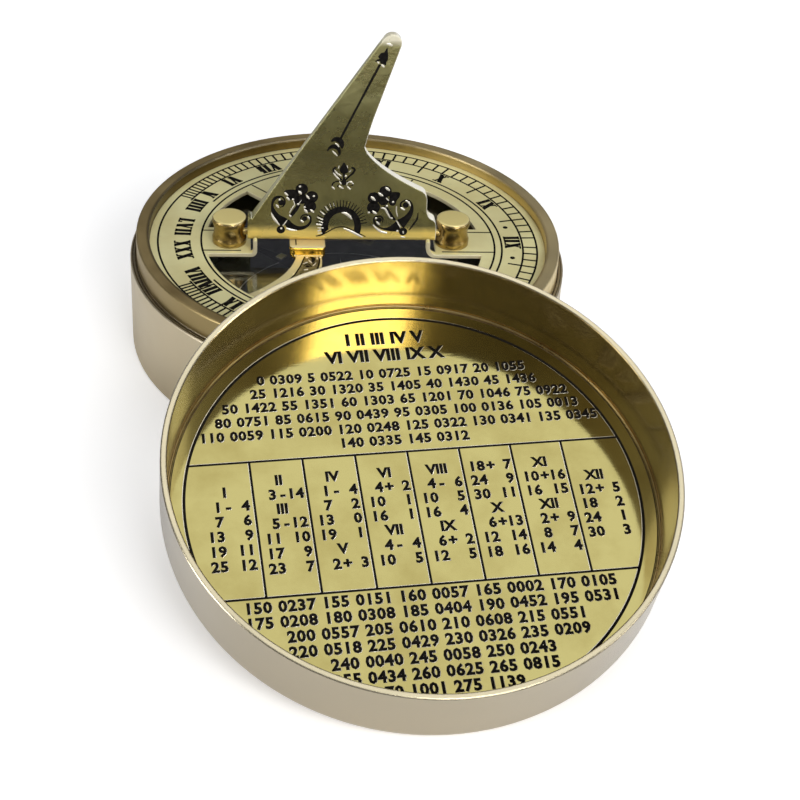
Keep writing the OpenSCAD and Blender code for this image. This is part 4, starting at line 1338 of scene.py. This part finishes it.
class SUNDIAL_OT_lid_figures(Operator):
    """Engraves the figures on the lid's plate: days and minutes in the table, and rows of minutes above and below it"""

    bl_idname = "sundial.lid_figures"
    bl_label = "Lid figures"

    def execute(self, context):
        cut = context.scene.sundial_engraving
        lines = []
        for column in TABLE_MONTHS:
            lines += column_figures(column, cut.column / MM, cut.row / MM, cut.figure / MM)
        lines += [figures(words, place, TITLE_SIZE) for words, place in TITLE_ROWS]
        lines += row_figures()
        select_only(*lines)
        bpy.ops.object.convert(target="MESH")
        plate = join("lid_figures", list(context.selected_objects))
        settle(plate)
        bpy.ops.object.mode_set(mode="EDIT")
        bpy.ops.mesh.select_all(action="SELECT")
        bpy.ops.mesh.dissolve_limited(angle_limit=0.01)
        bpy.ops.mesh.extrude_region_move(TRANSFORM_OT_translate={"value": (0, 0, cut.proud + cut.sunk)})
        bpy.ops.mesh.select_all(action="SELECT")
        bpy.ops.mesh.normals_make_consistent(inside=False)
        bpy.ops.transform.translate(value=(0, 0, -cut.sunk))
        bpy.ops.object.mode_set(mode="OBJECT")
        on_lid_plate(glint(plate, "lid_figures_glint", (0.00007, -0.00006)), "bright")
        on_lid_plate(plate, "fill")
        return {"FINISHED"}


# ---------------------------------------------------------------- stage

# Name, place and aim in metres, width in metres and power in watts
LAMPS = (
    ("overhead_softbox", (0.17, 0.22, 0.9), (0, 0, 0), 0.55, 1.2),
    ("left_softbox", (-0.9, -0.35, 0.3), (0, -0.03, 0), 0.4, 3.3),
    ("front_softbox", (0.338, -0.812, 0.62), (0, -0.05, 0), 0.48, 7.0),
    ("right_softbox", (0.85, -0.35, 0.25), (0, -0.05, 0), 0.3, 1.7),
)
# The camera's own right and the way that it looks
CAMERA_RIGHT = Vector((0.99557608, -0.07606128, 0.0551629))
CAMERA_AHEAD = Vector((0.09395885, 0.80590229, -0.58454533))


def lay_table(colour):
    """A pale table top that glows to the camera, but less near the compass, where the shadows show."""
    bpy.ops.object.select_all(action="DESELECT")
    bpy.ops.mesh.primitive_plane_add(size=6, location=(0, 0, 0))
    floor = bpy.context.object
    floor.name = "table_top"
    material, tree, shader = fresh_material("pale_table")
    shader.inputs["Base Color"].default_value = (*colour, 1)
    shader.inputs["Roughness"].default_value = 0.9
    shader.inputs["Specular IOR Level"].default_value = 0.1
    path = node(tree, "ShaderNodeLightPath", (0, -500))
    mirrored = node(tree, "ShaderNodeMath", (200, -500), {1: 0.05}, {0: path.outputs["Is Glossy Ray"]},
                    operation="MULTIPLY")
    spot = node(tree, "ShaderNodeTexCoord", (-600, -700))
    away = node(tree, "ShaderNodeVectorMath", (-400, -700), feeds={0: spot.outputs["Object"]}, operation="LENGTH")
    far = mask_between(tree, away.outputs["Value"], 0.12, 0.7, (-200, -700), 0.42, 1.0)
    glow = node(tree, "ShaderNodeMath", (400, -500), operation="MULTIPLY_ADD",
                feeds={0: path.outputs["Is Camera Ray"], 1: far, 2: mirrored.outputs["Value"]})
    tree.links.new(glow.outputs["Value"], shader.inputs["Emission Strength"])
    shader.inputs["Emission Color"].default_value = (1, 1, 1, 1)
    floor.data.materials.append(material)


def light_world(scene):
    """A soft sky, brighter above, that the camera sees as plain white."""
    scene.world = bpy.data.worlds.new("studio")
    scene.world.use_nodes = True
    tree = scene.world.node_tree
    tree.nodes.clear()
    around = node(tree, "ShaderNodeTexCoord", (-700, 300))
    height = node(tree, "ShaderNodeSeparateXYZ", (-500, 300), feeds={"Vector": around.outputs["Generated"]})
    sky = two_tones(tree, height.outputs["Z"], (-300, 100), (0.55, (0.22, 0.22, 0.24)), (0.85, (0.85, 0.86, 0.88)))
    soft = node(tree, "ShaderNodeBackground", (100, 100), {"Strength": 0.5}, {"Color": sky})
    white = node(tree, "ShaderNodeBackground", (100, -100), {"Strength": 1.0, "Color": (1, 1, 1, 1)})
    path = node(tree, "ShaderNodeLightPath", (100, 400))
    seen = {"Fac": path.outputs["Is Camera Ray"], 1: soft.outputs["Background"], 2: white.outputs["Background"]}
    mixed = node(tree, "ShaderNodeMixShader", (350, 0), feeds=seen)
    node(tree, "ShaderNodeOutputWorld", (600, 0), feeds={"Surface": mixed.outputs["Shader"]})


class SUNDIAL_OT_stage(Operator):
    """Lays the table top and sets the soft lights and the camera"""

    bl_idname = "sundial.stage"
    bl_label = "Table, lights and camera"

    def execute(self, context):
        stage = context.scene.sundial_stage
        lay_table(stage.floor_colour)
        light_world(context.scene)
        for name, place, aim, width, power in LAMPS:
            turn = (Vector(aim) - Vector(place)).to_track_quat("-Z", "Y").to_euler()
            bpy.ops.object.light_add(type="AREA", location=place, rotation=turn)
            lamp = context.object
            lamp.name = name
            lamp.data.size = width
            lamp.data.energy = power

        up = CAMERA_RIGHT.cross(CAMERA_AHEAD).normalized()
        turn = Matrix((CAMERA_RIGHT.normalized(), up, -CAMERA_AHEAD.normalized())).transposed()
        bpy.ops.object.camera_add(location=stage.camera_place, rotation=turn.to_euler())
        camera = context.object
        camera.data.sensor_width = 36
        camera.data.lens = stage.lens
        context.scene.camera = camera
        context.scene.view_settings.view_transform = "Standard"
        return {"FINISHED"}


class SUNDIAL_PT_panel(Panel):
    """Lists the steps in the order in which they run, and the sizes and colours"""

    bl_label = "Sundial compass"
    bl_idname = "SUNDIAL_PT_panel"
    bl_space_type = "VIEW_3D"
    bl_region_type = "UI"
    bl_category = "Sundial"

    def draw(self, context):
        for step in STEPS:
            self.layout.operator(step.bl_idname)
        for name in GROUPS:
            group = getattr(context.scene, name)
            column = self.layout.column(align=True)
            for key in group.__annotations__:
                column.prop(group, key)


GROUPS = {
    "sundial_dial": DialSizes,
    "sundial_engraving": EngravingSizes,
    "sundial_colours": FinishColours,
    "sundial_stage": StageSettings,
}
STEPS = (
    SUNDIAL_OT_finish_parts,
    SUNDIAL_OT_dial_circles,
    SUNDIAL_OT_shoulder_lines,
    SUNDIAL_OT_card_marks,
    SUNDIAL_OT_hour_ticks,
    SUNDIAL_OT_hour_numerals,
    SUNDIAL_OT_gnomon_ornament,
    SUNDIAL_OT_gnomon_arrow,
    SUNDIAL_OT_stay_relief,
    SUNDIAL_OT_lid_table,
    SUNDIAL_OT_lid_figures,
    SUNDIAL_OT_stage,
)
CLASSES = (*GROUPS.values(), *STEPS, SUNDIAL_PT_panel)


def register():
    for cls in CLASSES:
        bpy.utils.register_class(cls)
    for name, group in GROUPS.items():
        setattr(bpy.types.Scene, name, PointerProperty(type=group))


def unregister():
    for name in GROUPS:
        delattr(bpy.types.Scene, name)
    for cls in reversed(CLASSES):
        bpy.utils.unregister_class(cls)


def main():
    register()
    for step in STEPS:
        group, name = step.bl_idname.split(".")
        getattr(getattr(bpy.ops, group), name)()


if __name__ == "__main__":
    main()
